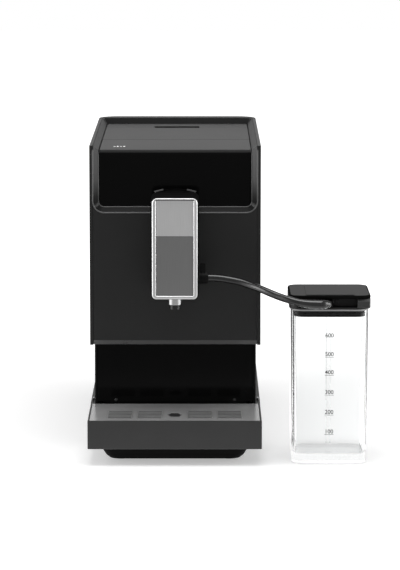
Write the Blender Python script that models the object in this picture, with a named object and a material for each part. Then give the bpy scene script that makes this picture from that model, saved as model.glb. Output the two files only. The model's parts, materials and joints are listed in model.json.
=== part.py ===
"""Slim countertop espresso machine with a grinder, a sliding dispenser and a milk jug on a hose.

Metres, +Z up. Pieces are laid out about the machine's own centre plane, x = 0, with the hood's front
face at y = 0 and the worktop at z = 0. One empty then carries all of them, so that the origin lies
under the middle of the machine and its jug.
"""

from math import cos, pi, sin

import bmesh
import bpy
from mathutils import Vector

for leftover in list(bpy.data.objects):
    bpy.data.objects.remove(leftover, do_unlink=True)

# Driving dimensions
BODY_WIDTH = 0.180
BODY_DEPTH = 0.346
BODY_HEIGHT = 0.323
HOOD_HEIGHT = 0.2113
REAR_CORNER = 0.022
TRAY_REACH = 0.0913
TRAY_REAR = 0.1120
BASE_BOTTOM = 0.0173
BASE_TOP = 0.0475
BASE_FRONT = 0.0120
TOP_DROP = 0.0050
REAR_RIM = 0.0400
STRIP_LENGTH = 0.1172
COLUMN_INSET = 0.00475
COLUMN_FRONT = 0.0065
SKIN = 0.0035
WALL = 0.0025
FIT = 0.0003
OVERRUN = 0.0020
JUG_X = 0.1600
JUG_Y = -0.0405
JUG_WIDTH = 0.0800
JUG_HEIGHT = 0.1620
LID_OVERHANG = 0.0020

HALF_WIDTH = BODY_WIDTH / 2
HOOD_BOTTOM = BODY_HEIGHT - HOOD_HEIGHT
TOP_LEVEL = BODY_HEIGHT - TOP_DROP
WELL_REAR = BODY_DEPTH - REAR_RIM
COLUMN_HALF = HALF_WIDTH - COLUMN_INSET
INNER_HALF = COLUMN_HALF - WALL
SKIN_INNER = HALF_WIDTH - SKIN
JUG_HALF = JUG_WIDTH / 2
LID_HALF = JUG_HALF + LID_OVERHANG

# Counts of points
CORNER_STEPS = 5
ROUND = 24
FINE_ROUND = 32
ARCH_STEPS = 10
FOLD_STEPS = 5
ROUTE_STEPS = 40
ELBOW_STEPS = 6
ELBOW_SIDES = 12

# Gear teeth as shares of the module or of the pitch
GEAR_TIP_SHARE = 0.60
GEAR_ROOT_SHARE = 0.95
GEAR_HEAD_SHARE = 0.12
GEAR_FOOT_SHARE = 0.27

HOSE_STEP_SHARE = 3.2
SHARP_ANGLE = pi / 6

# Colours of the finishes
MATTE_BLACK = (0.018, 0.018, 0.019)
GLOSS_BLACK = (0.006, 0.006, 0.007)
PANEL_GREY = (0.110, 0.110, 0.112)
TRAY_GREY = (0.045, 0.045, 0.046)
INNER_BLACK = (0.025, 0.025, 0.026)
RUBBER_BLACK = (0.012, 0.012, 0.012)
STEEL = (0.560, 0.560, 0.570)
DARK_STEEL = (0.270, 0.270, 0.280)
CHROME = (0.700, 0.700, 0.710)
ALUMINIUM = (0.520, 0.525, 0.530)
BRASS = (0.560, 0.420, 0.180)
CLEAR = (0.900, 0.920, 0.930)
SMOKED = (0.200, 0.210, 0.220)
BOARD_GREEN = (0.020, 0.140, 0.060)

centre = bpy.data.objects.new("machine_centre", None)
bpy.context.scene.collection.objects.link(centre)
centre.location = (
    -(JUG_X + LID_HALF - HALF_WIDTH) / 2,
    -(BODY_DEPTH - TRAY_REACH) / 2,
    0,
)


# Finishes


def finish(name, colour, roughness, metallic=0, clear=0):
    """A Principled material of one colour; clear is how much light it lets through."""
    material = bpy.data.materials.new(name)
    material.use_nodes = True
    shader = material.node_tree.nodes["Principled BSDF"]
    shader.inputs["Base Color"].default_value = (*colour, 1)
    shader.inputs["Roughness"].default_value = roughness
    shader.inputs["Metallic"].default_value = metallic
    shader.inputs["Transmission Weight"].default_value = clear
    material.diffuse_color = (*colour, 1)
    return material


# Outlines: lists of two numbers, anticlockwise


def rectangle(low_a, high_a, low_b, high_b):
    return [(low_a, low_b), (high_a, low_b), (high_a, high_b), (low_a, high_b)]


def rounded(low_a, high_a, low_b, high_b, radius, steps=CORNER_STEPS):
    """A rectangle with four equal round corners."""
    corners = (
        (high_a - radius, low_b + radius, -pi / 2),
        (high_a - radius, high_b - radius, 0),
        (low_a + radius, high_b - radius, pi / 2),
        (low_a + radius, low_b + radius, pi),
    )
    return [
        (a + radius * cos(turn + k * pi / 2 / steps), b + radius * sin(turn + k * pi / 2 / steps))
        for a, b, turn in corners
        for k in range(steps + 1)
    ]


def round_outline(a, b, radius, count=ROUND, turn=0):
    angles = [turn + 2 * pi * k / count for k in range(count)]
    return [(a + radius * cos(angle), b + radius * sin(angle)) for angle in angles]


def quartered_round(a, b, radius, steps=CORNER_STEPS):
    """A circle whose points pair with those of rounded()."""
    share = 1 / (steps + 1)
    angles = [-pi / 2 + (q + (k + 1 / 2) * share) * pi / 2 for q in range(4) for k in range(steps + 1)]
    return [(a + radius * cos(angle), b + radius * sin(angle)) for angle in angles]


def rear_path(inset, front):
    """The sides and back of the body's plan, drawn in by inset, from the right front to the left."""
    half = HALF_WIDTH - inset
    radius = REAR_CORNER - inset
    rear = BODY_DEPTH - inset
    path = [(half, front)]
    for side, turn in ((1, 0), (-1, pi / 2)):
        for k in range(CORNER_STEPS + 1):
            angle = turn + k * pi / 2 / CORNER_STEPS
            path.append((side * (half - radius) + radius * cos(angle), rear - radius + radius * sin(angle)))
    path.append((-half, front))
    return path


def gear_outline(a, b, radius, teeth, turn):
    """A plain spur gear with one tooth centred on the direction turn."""
    module = 2 * radius / teeth
    pitch = 2 * pi / teeth
    tip = radius + GEAR_TIP_SHARE * module
    root = radius - GEAR_ROOT_SHARE * module
    points = []
    for tooth in range(teeth):
        middle = turn + tooth * pitch
        for reach, share in (
            (root, -GEAR_FOOT_SHARE),
            (tip, -GEAR_HEAD_SHARE),
            (tip, GEAR_HEAD_SHARE),
            (root, GEAR_FOOT_SHARE),
        ):
            angle = middle + share * pitch
            points.append((a + reach * cos(angle), b + reach * sin(angle)))
    return points


# Solids: every function adds to a bmesh in the machine's own coordinates


def placed(axis, a, b, along):
    """A point from its two outline numbers and its place along the axis X, Y or Z."""
    return {"X": (along, a, b), "Y": (a, along, b), "Z": (a, b, along)}[axis]


def loft(solid, rings, closed=False):
    """Joins rings of equally many points; closed joins the last to the first, as in a pipe."""
    made = [[solid.verts.new(point) for point in ring] for ring in rings]
    count = len(made[0])
    pairs = list(zip(made, made[1:]))
    if closed:
        pairs.append((made[-1], made[0]))
    else:
        solid.faces.new(list(reversed(made[0])))
        solid.faces.new(made[-1])
    for low, high in pairs:
        for k in range(count):
            after = (k + 1) % count
            solid.faces.new((low[k], low[after], high[after], high[k]))
    return solid


def stack(solid, axis, levels, closed=False):
    """A loft through outlines, each given with its place along the axis."""
    rings = [[placed(axis, a, b, along) for a, b in outline] for outline, along in levels]
    return loft(solid, rings, closed)


def prism(solid, axis, outline, start, end):
    return stack(solid, axis, [(outline, start), (outline, end)])


def block(solid, low, high):
    return prism(solid, "Z", rectangle(low[0], high[0], low[1], high[1]), low[2], high[2])


def turned(solid, axis, a, b, profile, closed=False, count=ROUND):
    """Turns (radius, place along the axis) about a line through a, b."""
    levels = [(round_outline(a, b, radius, count), along) for radius, along in profile]
    return stack(solid, axis, levels, closed)


# Objects


def piece(name, solid, material, at=(0, 0, 0), smooth=False):
    """One named piece whose origin is at, from a bmesh in the machine's coordinates."""
    bmesh.ops.translate(solid, verts=solid.verts, vec=-Vector(at))
    bmesh.ops.recalc_face_normals(solid, faces=solid.faces)
    if solid.calc_volume(signed=True) < 0:
        bmesh.ops.reverse_faces(solid, faces=solid.faces)
    mesh = bpy.data.meshes.new(name)
    solid.to_mesh(mesh)
    solid.free()
    if smooth:
        mesh.shade_smooth()
        mesh.set_sharp_from_angle(angle=SHARP_ANGLE)
    if material:
        mesh.materials.append(material)
    made = bpy.data.objects.new(name, mesh)
    bpy.context.scene.collection.objects.link(made)
    made.parent = centre
    made.location = at
    return made


def tool(target, operation, solid):
    """Cuts a bmesh from the target, joins it on, or keeps only what the two share."""
    count = len(target.modifiers)
    helper = piece(f"{target.name}_tool_{count}", solid, None)
    helper.hide_render = True
    helper.display_type = "WIRE"
    change = target.modifiers.new(f"{operation.lower()}_{count}", "BOOLEAN")
    change.operation = operation
    change.solver = "EXACT"
    change.object = helper
    return target


def cut(target, solid):
    return tool(target, "DIFFERENCE", solid)


def join(target, solid):
    return tool(target, "UNION", solid)


def fresh():
    return bmesh.new()


def smooth_route(points, spacing):
    """Points about spacing apart on a smooth curve through the given ones."""
    knots = [Vector(point) for point in points]
    knots = [2 * knots[0] - knots[1], *knots, 2 * knots[-1] - knots[-2]]
    dense = []
    for before, start, end, after in zip(knots, knots[1:], knots[2:], knots[3:]):
        for k in range(ROUTE_STEPS):
            t = k / ROUTE_STEPS
            dense.append(
                (
                    2 * start
                    + (end - before) * t
                    + (2 * before - 5 * start + 4 * end - after) * t**2
                    + (3 * start - before - 3 * end + after) * t**3
                )
                / 2
            )
    dense.append(knots[-2])
    travelled = [0]
    for first, second in zip(dense, dense[1:]):
        travelled.append(travelled[-1] + (second - first).length)
    count = max(2, round(travelled[-1] / spacing))
    picked = []
    for k in range(count + 1):
        reach = travelled[-1] * k / count
        index = min(range(len(dense)), key=lambda i: abs(travelled[i] - reach))
        picked.append(dense[index])
    return picked


def hose(name, route, radius, material, sides):
    """A tube along a smooth route, its ends square to the first and last stretch."""
    points = smooth_route(route, HOSE_STEP_SHARE * radius)
    curve = bpy.data.curves.new(name, "CURVE")
    curve.dimensions = "3D"
    curve.bevel_depth = radius
    curve.bevel_resolution = sides
    curve.use_fill_caps = True
    curve.materials.append(material)
    spline = curve.splines.new("POLY")
    spline.points.add(len(points) - 1)
    for slot, point in zip(spline.points, points):
        slot.co = (*point, 1)
        slot.radius = 1
    made = bpy.data.objects.new(name, curve)
    bpy.context.scene.collection.objects.link(made)
    made.parent = centre
    return made


matte = finish("matte_black_plastic", MATTE_BLACK, 0.48)
tray_finish = finish("satin_grey_plastic", TRAY_GREY, 0.38)
rubber = finish("black_rubber", RUBBER_BLACK, 0.70)
inner = finish("inner_black_plastic", INNER_BLACK, 0.60)
panel = finish("touch_grey_panel", PANEL_GREY, 0.20)
steel = finish("brushed_steel", STEEL, 0.30, 1)
dark_steel = finish("dark_steel", DARK_STEEL, 0.35, 1)
brass = finish("brass", BRASS, 0.35, 1)

# Base pan and feet
PLINTH_FLOOR = 0.0020
PLINTH_INSET = 0.0120
PLINTH_TAPER = 0.0062
PLINTH_FRONT_INSET = 0.0173
PLINTH_FRONT_TAPER = 0.0080
PLINTH_REAR_INSET = 0.0060
PLINTH_TOP_HALF = HALF_WIDTH - PLINTH_INSET
PLINTH_FOOT_HALF = PLINTH_TOP_HALF - PLINTH_TAPER
PLINTH_FRONT_TOP = -TRAY_REACH + PLINTH_FRONT_INSET
PLINTH_FRONT_FOOT = PLINTH_FRONT_TOP + PLINTH_FRONT_TAPER
PLINTH_REAR_TOP = BODY_DEPTH - PLINTH_REAR_INSET
PLINTH_REAR_FOOT = PLINTH_REAR_TOP - PLINTH_TAPER
PLINTH_CORNER = 0.0100
PLINTH_EDGE = 0.0040
PLINTH_HOLLOW_END = 0.0300
PLINTH_ROOF = 0.0040
BASE_LAP = 0.0005
BASE_FLOOR = 0.0022
BAY_INSET = 0.0068
BAY_HALF = HALF_WIDTH - BAY_INSET
BAY_FLOOR = BASE_BOTTOM + BASE_FLOOR
FOOT_RADIUS = 0.0090
FOOT_HEIGHT = 0.0050
FOOT_INSET = 0.0158
FOOT_FRONT_INSET = 0.0207
FOOT_REAR_INSET = 0.0238
FOOT_X = PLINTH_FOOT_HALF - FOOT_INSET
FOOT_FRONT_Y = PLINTH_FRONT_FOOT + FOOT_FRONT_INSET
FOOT_REAR_Y = PLINTH_REAR_FOOT - FOOT_REAR_INSET
HOLLOW_MARGIN = 0.0030
PLINTH_HOLLOW_HALF = FOOT_X - FOOT_RADIUS - HOLLOW_MARGIN
FOOT_EDGE = 0.0008
GLAND_INSET = 0.0282
GLAND_X = BAY_HALF - GLAND_INSET
GLAND_Z = (BASE_BOTTOM + BASE_TOP) / 2
GLAND_RADIUS = 0.0065
GLAND_BORE = 0.0038
GLAND_LENGTH = 0.0095


def make_base():
    solid = fresh()
    levels = []
    for z, share in ((PLINTH_FLOOR, 0), (PLINTH_FLOOR, 1), (BASE_BOTTOM, 1)):
        high = z == BASE_BOTTOM
        half = PLINTH_TOP_HALF if high else PLINTH_FOOT_HALF
        front = PLINTH_FRONT_TOP if high else PLINTH_FRONT_FOOT
        rear = PLINTH_REAR_TOP if high else PLINTH_REAR_FOOT
        draw_in = PLINTH_EDGE * (1 - share)
        lift = PLINTH_EDGE * share if not high else 0
        outline = rounded(-half + draw_in, half - draw_in, front + draw_in, rear - draw_in, PLINTH_CORNER)
        levels.append((outline, z + lift))
    stack(solid, "Z", levels)
    base = piece("base_pan", solid, matte)
    join(base, prism(fresh(), "Z", rear_path(0, BASE_FRONT), BASE_BOTTOM - BASE_LAP, BASE_TOP))
    cut(base, prism(fresh(), "Z", rear_path(BAY_INSET, BASE_FRONT - OVERRUN), BAY_FLOOR, BASE_TOP + OVERRUN))
    cut(
        base,
        block(
            fresh(),
            (-PLINTH_HOLLOW_HALF, PLINTH_FRONT_FOOT + PLINTH_HOLLOW_END, PLINTH_FLOOR - OVERRUN),
            (PLINTH_HOLLOW_HALF, PLINTH_REAR_FOOT - PLINTH_HOLLOW_END, BASE_BOTTOM - PLINTH_ROOF),
        ),
    )
    pocket = FOOT_RADIUS + FIT
    for x, y in foot_places():
        low = PLINTH_FLOOR - OVERRUN
        cut(base, turned(fresh(), "Z", x, y, [(pocket, low), (pocket, FOOT_HEIGHT + FIT)]))
    hole = GLAND_RADIUS + FIT
    start = BODY_DEPTH - BAY_INSET - OVERRUN
    cut(base, turned(fresh(), "Y", GLAND_X, GLAND_Z, [(hole, start), (hole, BODY_DEPTH + OVERRUN)]))
    return base


def foot_places():
    return [(side * FOOT_X, y) for y in (FOOT_FRONT_Y, FOOT_REAR_Y) for side in (-1, 1)]


def make_feet():
    names = ("foot_front_left", "foot_front_right", "foot_rear_left", "foot_rear_right")
    for name, (x, y) in zip(names, foot_places()):
        profile = [(FOOT_RADIUS - FOOT_EDGE, 0), (FOOT_RADIUS, FOOT_EDGE), (FOOT_RADIUS, FOOT_HEIGHT)]
        piece(name, turned(fresh(), "Z", x, y, profile), rubber, (x, y, 0), smooth=True)


def make_gland():
    rear = BODY_DEPTH - FIT
    start = rear - GLAND_LENGTH
    profile = [(GLAND_RADIUS, start), (GLAND_RADIUS, rear), (GLAND_BORE, rear), (GLAND_BORE, start)]
    solid = turned(fresh(), "Y", GLAND_X, GLAND_Z, profile, closed=True)
    piece("mains_inlet_gland", solid, rubber, smooth=True)


# Chassis, which is also the skin of the column
CHASSIS_DROP = 0.0230
CHASSIS_TOP = BODY_HEIGHT - CHASSIS_DROP
DECK_FRONT = 0.0130
DECK_THICK = 0.0025
DECK_INSET = COLUMN_INSET + WALL / 2
DECK_BOTTOM = HOOD_BOTTOM + FIT
DECK_TOP = DECK_BOTTOM + DECK_THICK
DOOR_FRONT = 0.0300
DOOR_REAR = 0.1500
DOOR_LIFT = 0.0133
DOOR_DROP = 0.0380
DOOR_BOTTOM = HOOD_BOTTOM + DOOR_LIFT
DOOR_TOP = BODY_HEIGHT - DOOR_DROP
DOOR_GAP = 0.0005
DOOR_STOP = 0.0030
PUCK_HALF = 0.0300
PUCK_FRONT = 0.0150
PUCK_REAR = 0.0290
TUBE_RADIUS = 0.0030
TUBE_HOLE = 0.0040
TUBE_FROM_WALL = 0.01375
PRESSURE_X = -INNER_HALF + TUBE_FROM_WALL
PRESSURE_Y = 0.1200
TANK_SETBACK = 0.0035
TANK_DEPTH = 0.0360
TANK_REAR = WELL_REAR - TANK_SETBACK
TANK_FRONT = TANK_REAR - TANK_DEPTH
TANK_Y = (TANK_FRONT + TANK_REAR) / 2


def make_chassis():
    outer = rear_path(COLUMN_INSET, COLUMN_FRONT)
    lining = rear_path(COLUMN_INSET + WALL, COLUMN_FRONT)
    solid = prism(fresh(), "Z", outer + list(reversed(lining)), BASE_TOP + FIT, CHASSIS_TOP)
    chassis = piece("chassis", solid, finish("gloss_column", GLOSS_BLACK, 0.22))
    join(chassis, prism(fresh(), "Z", rear_path(DECK_INSET, DECK_FRONT), DECK_BOTTOM, DECK_TOP))
    cut(
        chassis,
        block(
            fresh(),
            (INNER_HALF - OVERRUN, DOOR_FRONT + DOOR_STOP, DOOR_BOTTOM + DOOR_STOP),
            (COLUMN_HALF + OVERRUN, DOOR_REAR - DOOR_STOP, DOOR_TOP - DOOR_STOP),
        ),
    )
    low = DECK_BOTTOM - OVERRUN
    high = DECK_TOP + OVERRUN
    cut(chassis, block(fresh(), (-PUCK_HALF, PUCK_FRONT, low), (PUCK_HALF, PUCK_REAR, high)))
    for x, y in ((0, TANK_Y), (PRESSURE_X, PRESSURE_Y)):
        cut(chassis, turned(fresh(), "Z", x, y, [(TUBE_HOLE, low), (TUBE_HOLE, high)]))
    return chassis


# Hood shell with the bevelled band and the well of the top
HOOD_INSET = SKIN + FIT
HOOD_HALF = HALF_WIDTH - HOOD_INSET
HOOD_THICK = COLUMN_FRONT - FIT
HOOD_CHAMFER = 0.0050
HOOD_CHAMFER_DEPTH = 0.0040
FRAME_FROM = CHASSIS_TOP + FIT
BAND = 0.0053
BAND_LAND = 0.0004
WELL_HALF = HOOD_HALF - BAND_LAND - BAND
RECESS = 0.0045
FASCIA_HEIGHT = 0.0598
FASCIA_BOTTOM = TOP_LEVEL - FASCIA_HEIGHT
FASCIA_CORNER = 0.0060
BAND_CORNER = 0.0110
PANEL_THICK = 0.0030
WELL_FLOOR = TOP_LEVEL - PANEL_THICK - FIT
REAR_SLOPE = 0.0160
WELL_CORNER = 0.0020
RIM_CORNER = 0.0160
LEDGE = 0.0060
LEDGE_FRONT = 0.0053
TANK_DOOR_LEDGE = 0.0020
BARREL_RADIUS = 0.0022
BARREL_SETBACK = 0.0032
BARREL_Y = WELL_REAR - BARREL_SETBACK
BARREL_Z = TOP_LEVEL - BARREL_RADIUS
TANK_DOOR_MARGIN = 0.0025
TANK_DOOR_REST = 0.0005
SEAM_SETBACK = 0.0012
BOARD_BAY_LEDGE = 0.0045
BOARD_BAY_FRONT = 0.0110
BOARD_BAY_RIB = 0.0035
HOPPER_HALF = WELL_HALF - LEDGE
TANK_DOOR_HALF = WELL_HALF - TANK_DOOR_LEDGE
TANK_DOOR_FRONT = TANK_FRONT - TANK_DOOR_MARGIN
TANK_DOOR_REAR = WELL_REAR - TANK_DOOR_REST
SEAM_Y = TANK_DOOR_FRONT - SEAM_SETBACK
HOPPER_FRONT = STRIP_LENGTH + LEDGE_FRONT
HOPPER_REAR = SEAM_Y - LEDGE_FRONT
BOARD_BAY_HALF = WELL_HALF - BOARD_BAY_LEDGE
BOARD_BAY_REAR = HOPPER_FRONT - BOARD_BAY_RIB
BOARD_BAY_TOP = WELL_FLOOR - WALL
CHANNEL_HALF = 0.0200
CHANNEL_DEPTH = 0.0100
CHANNEL_DROP = 0.0453
CHANNEL_SHOULDER = TOP_LEVEL - CHANNEL_DROP
CHANNEL_CROWN = 0.0030
CHANNEL_REACH = 0.0985
CHANNEL_FOOT = CHANNEL_SHOULDER - CHANNEL_REACH
LINER_HALF = CHANNEL_HALF + WALL
LINER_TOP = CHANNEL_SHOULDER + CHANNEL_CROWN + WALL
LINER_FOOT = CHANNEL_FOOT - WALL
GRIP_HALF = 0.0255
GRIP_REACH = 0.0090
GRIP_CORNER = 0.0030
GRIP_DEPTH = 0.0120
GRIP_FLOOR = TOP_LEVEL - GRIP_DEPTH


def channel_tool():
    """The dispenser's channel: a flat foot, straight sides and a shallow arch on top."""
    outline = [(-CHANNEL_HALF, CHANNEL_FOOT), (CHANNEL_HALF, CHANNEL_FOOT)]
    for k in range(ARCH_STEPS + 1):
        share = 1 - 2 * k / ARCH_STEPS
        outline.append((CHANNEL_HALF * share, CHANNEL_SHOULDER + CHANNEL_CROWN * (1 - share**2)))
    return prism(fresh(), "Y", outline, -OVERRUN, CHANNEL_DEPTH)


def make_hood():
    profile = [
        (0, HOOD_BOTTOM + HOOD_CHAMFER),
        (HOOD_CHAMFER_DEPTH, HOOD_BOTTOM),
        (HOOD_THICK, HOOD_BOTTOM),
        (HOOD_THICK, BODY_HEIGHT),
        (0, BODY_HEIGHT),
    ]
    hood = piece("hood_shell", prism(fresh(), "X", profile, -HOOD_HALF, HOOD_HALF), matte)
    join(hood, prism(fresh(), "Z", rear_path(HOOD_INSET, 0), FRAME_FROM, BODY_HEIGHT))
    join(
        hood,
        block(
            fresh(),
            (-LINER_HALF, HOOD_THICK - BASE_LAP, LINER_FOOT),
            (LINER_HALF, CHANNEL_DEPTH + WALL, LINER_TOP),
        ),
    )
    past = BODY_HEIGHT + OVERRUN
    slope = BAND / RECESS
    ahead = slope * OVERRUN
    back_ring = rounded(-WELL_HALF, WELL_HALF, FASCIA_BOTTOM, past + BAND_CORNER, FASCIA_CORNER)
    front_half = WELL_HALF + BAND + ahead
    front_low = FASCIA_BOTTOM - BAND - ahead
    front_ring = rounded(-front_half, front_half, front_low, past + BAND_CORNER, BAND_CORNER)
    behind = RECESS + PANEL_THICK + FIT
    cut(hood, stack(fresh(), "Y", [(front_ring, -OVERRUN), (back_ring, RECESS), (back_ring, behind)]))
    climb = OVERRUN / TOP_DROP
    low_ring = rounded(-WELL_HALF, WELL_HALF, -BAND_CORNER, WELL_REAR, WELL_CORNER)
    high_half = WELL_HALF + BAND * (1 + climb)
    high_rear = WELL_REAR + REAR_SLOPE * (1 + climb)
    high_ring = rounded(-high_half, high_half, -BAND_CORNER, high_rear, RIM_CORNER)
    cut(hood, stack(fresh(), "Z", [(low_ring, WELL_FLOOR), (low_ring, TOP_LEVEL), (high_ring, past)]))
    below = FRAME_FROM - OVERRUN
    for half, front, rear in (
        (HOPPER_HALF, HOPPER_FRONT, HOPPER_REAR),
        (TANK_DOOR_HALF, TANK_DOOR_FRONT, TANK_DOOR_REAR),
    ):
        cut(hood, block(fresh(), (-half, front, below), (half, rear, WELL_FLOOR + OVERRUN)))
    cut(
        hood,
        block(
            fresh(),
            (-BOARD_BAY_HALF, BOARD_BAY_FRONT, below),
            (BOARD_BAY_HALF, BOARD_BAY_REAR, BOARD_BAY_TOP),
        ),
    )
    cut(
        hood,
        block(
            fresh(),
            (-GRIP_HALF, SEAM_Y - GRIP_REACH, GRIP_FLOOR),
            (GRIP_HALF, SEAM_Y + GRIP_REACH, WELL_FLOOR + OVERRUN),
        ),
    )
    barrel_low = BARREL_Z - BARREL_RADIUS - 2 * FIT
    barrel_front = BARREL_Y - BARREL_RADIUS - 2 * FIT
    low_corner = (-WELL_HALF, barrel_front, barrel_low)
    cut(hood, block(fresh(), low_corner, (WELL_HALF, TANK_DOOR_REAR, WELL_FLOOR + BASE_LAP)))
    cut(hood, channel_tool())
    return hood


# Gloss fascia, one moulding that folds over into the touch strip
FOLD = 0.0045
FASCIA_HALF = WELL_HALF - FIT


def make_fascia():
    inside = RECESS + PANEL_THICK
    outline = [(RECESS, FASCIA_BOTTOM)]
    for k in range(FOLD_STEPS + 1):
        angle = pi - k * pi / 2 / FOLD_STEPS
        outline.append((RECESS + FOLD + FOLD * cos(angle), TOP_LEVEL - FOLD + FOLD * sin(angle)))
    outline += [
        (STRIP_LENGTH, TOP_LEVEL),
        (STRIP_LENGTH, TOP_LEVEL - PANEL_THICK),
        (inside, TOP_LEVEL - PANEL_THICK),
        (inside, FASCIA_BOTTOM),
    ]
    solid = prism(fresh(), "X", list(reversed(outline)), -FASCIA_HALF, FASCIA_HALF)
    fascia = piece("gloss_fascia", solid, finish("gloss_black_panel", GLOSS_BLACK, 0.08))
    past = BODY_HEIGHT + FASCIA_CORNER
    trim = rounded(-FASCIA_HALF, FASCIA_HALF, FASCIA_BOTTOM + FIT, past, FASCIA_CORNER)
    tool(fascia, "INTERSECT", prism(fresh(), "Y", trim, 0, STRIP_LENGTH + OVERRUN))
    cut(fascia, channel_tool())
    return fascia


# Side panels, service door and rear cover
COVER_RETURN = 0.0040
PANEL_REAR = BODY_DEPTH - REAR_CORNER - COVER_RETURN
LIP_HEIGHT = 0.0020
HINGE_RADIUS = SKIN / 2
HINGE_X = HALF_WIDTH - HINGE_RADIUS
HINGE_Y = DOOR_REAR - HINGE_RADIUS
DOOR_PIN = 0.0009
DOOR_PIN_LENGTH = 0.0025
CATCH_FRONT = 0.0060
CATCH_HALF = 0.0110
CATCH_DEPTH = 0.0015
VENT_COUNT = 6
VENT_HALF = 0.0320
VENT_HEIGHT = 0.0030
VENT_PITCH = 0.0090
VENT_LIFT = 0.0383
VENT_FIRST = HOOD_BOTTOM + VENT_LIFT
SCREW_INSET = 0.0300
SCREW_LIFT = 0.0103
SCREW_X = HALF_WIDTH - SCREW_INSET
SCREW_Z = HOOD_BOTTOM + SCREW_LIFT
SCREW_RADIUS = 0.0035
SCREW_HEAD = 0.0020
SCREW_POCKET = 0.0024


def side_panel(name, side):
    """A skin with a lip along its foot that reaches in to the column."""
    skin = sorted((side * SKIN_INNER, side * HALF_WIDTH))
    lip = sorted((side * (COLUMN_HALF + FIT), side * (SKIN_INNER + BASE_LAP)))
    made = piece(name, block(fresh(), (skin[0], 0, HOOD_BOTTOM), (skin[1], PANEL_REAR, BODY_HEIGHT)), matte)
    low_corner = (lip[0], HOOD_THICK + FIT, HOOD_BOTTOM)
    return join(made, block(fresh(), low_corner, (lip[1], PANEL_REAR - SKIN, HOOD_BOTTOM + LIP_HEIGHT)))


def make_side_panels():
    side_panel("left_side_panel", -1)
    right = side_panel("right_side_panel", 1)
    cut(
        right,
        block(
            fresh(),
            (SKIN_INNER - OVERRUN, DOOR_FRONT - DOOR_GAP, DOOR_BOTTOM - DOOR_GAP),
            (HALF_WIDTH + OVERRUN, DOOR_REAR + DOOR_GAP, DOOR_TOP + DOOR_GAP),
        ),
    )
    hole = DOOR_PIN + FIT
    reach = DOOR_PIN_LENGTH + DOOR_GAP
    span = [(hole, DOOR_BOTTOM - reach), (hole, DOOR_TOP + reach)]
    cut(right, turned(fresh(), "Z", HINGE_X, HINGE_Y, span))


def make_door():
    outline = [(SKIN_INNER, DOOR_FRONT), (HALF_WIDTH, DOOR_FRONT)]
    for k in range(2 * CORNER_STEPS + 1):
        angle = k * pi / 2 / CORNER_STEPS
        outline.append((HINGE_X + HINGE_RADIUS * cos(angle), HINGE_Y + HINGE_RADIUS * sin(angle)))
    solid = prism(fresh(), "Z", outline, DOOR_BOTTOM, DOOR_TOP)
    door = piece("service_door", solid, matte, (HINGE_X, HINGE_Y, DOOR_BOTTOM))
    low = DOOR_BOTTOM - DOOR_PIN_LENGTH
    high = DOOR_TOP + DOOR_PIN_LENGTH
    join(door, turned(fresh(), "Z", HINGE_X, HINGE_Y, [(DOOR_PIN, low), (DOOR_PIN, high)], count=8))
    middle = (DOOR_BOTTOM + DOOR_TOP) / 2
    cut(
        door,
        block(
            fresh(),
            (HALF_WIDTH - CATCH_DEPTH, DOOR_FRONT - OVERRUN, middle - CATCH_HALF),
            (HALF_WIDTH + OVERRUN, DOOR_FRONT + CATCH_FRONT, middle + CATCH_HALF),
        ),
    )


def make_rear_cover():
    front = PANEL_REAR + FIT
    outline = rear_path(0, front) + list(reversed(rear_path(SKIN, front)))
    cover = piece("rear_cover", prism(fresh(), "Z", outline, HOOD_BOTTOM, BODY_HEIGHT), matte)
    vents = fresh()
    for k in range(VENT_COUNT):
        z = VENT_FIRST + k * VENT_PITCH
        low = (-VENT_HALF, BODY_DEPTH - SKIN - OVERRUN, z)
        block(vents, low, (VENT_HALF, BODY_DEPTH + OVERRUN, z + VENT_HEIGHT))
    cut(cover, vents)
    pocket = SCREW_RADIUS + FIT
    for name, side in (("rear_screw_left", -1), ("rear_screw_right", 1)):
        x = side * SCREW_X
        start = BODY_DEPTH - SCREW_POCKET
        cut(cover, turned(fresh(), "Y", x, SCREW_Z, [(pocket, start), (pocket, BODY_DEPTH + OVERRUN)]))
        face = start + FIT + SCREW_HEAD
        head = [(SCREW_RADIUS, start + FIT), (SCREW_RADIUS, (start + face) / 2), (SCREW_RADIUS / 2, face)]
        solid = turned(fresh(), "Y", x, SCREW_Z, head, count=12)
        piece(name, solid, steel, (x, start, SCREW_Z), smooth=True)


# Bean hopper, its lid and the grind knob
GRIND_Y = (HOPPER_FRONT + HOPPER_REAR) / 2
NECK_RADIUS = 0.0285
HOPPER_WALL = 0.0020
HOPPER_RIM = WELL_FLOOR - FIT
HOPPER_CORNER = 0.0120
HOPPER_COLLAR = 0.0144
HOPPER_WAIST = 0.0120
HOPPER_SHOULDER = HOPPER_RIM - HOPPER_COLLAR
HOPPER_SLOPE_TOP = HOPPER_SHOULDER - HOPPER_WAIST
HOPPER_TAPER = 0.0030
HOUSING_LIFT = 0.0635
HOUSING_HEIGHT = 0.0583
HOUSING_BOTTOM = DECK_TOP + HOUSING_LIFT
BURR_TOP = HOUSING_BOTTOM + HOUSING_HEIGHT
NECK_RISE = 0.0137
NECK_TOP = BURR_TOP + NECK_RISE
RING_FLANGE = 0.0040
NECK_BOTTOM = BURR_TOP + RING_FLANGE + WALL / 4
RING_PITCH_RADIUS = 0.0330
RING_TEETH = 36
KNOB_TEETH = 9
KNOB_PITCH_RADIUS = RING_PITCH_RADIUS * KNOB_TEETH / RING_TEETH
KNOB_REACH = RING_PITCH_RADIUS + KNOB_PITCH_RADIUS + FIT
KNOB_TURN = pi
KNOB_X = KNOB_REACH * cos(KNOB_TURN)
KNOB_Y = GRIND_Y + KNOB_REACH * sin(KNOB_TURN)
KNOB_SHAFT = 0.0030
KNOB_POST = 0.0075
KNOB_DROP = 0.0030
KNOB_POST_TOP = HOPPER_SHOULDER - KNOB_DROP
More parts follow.
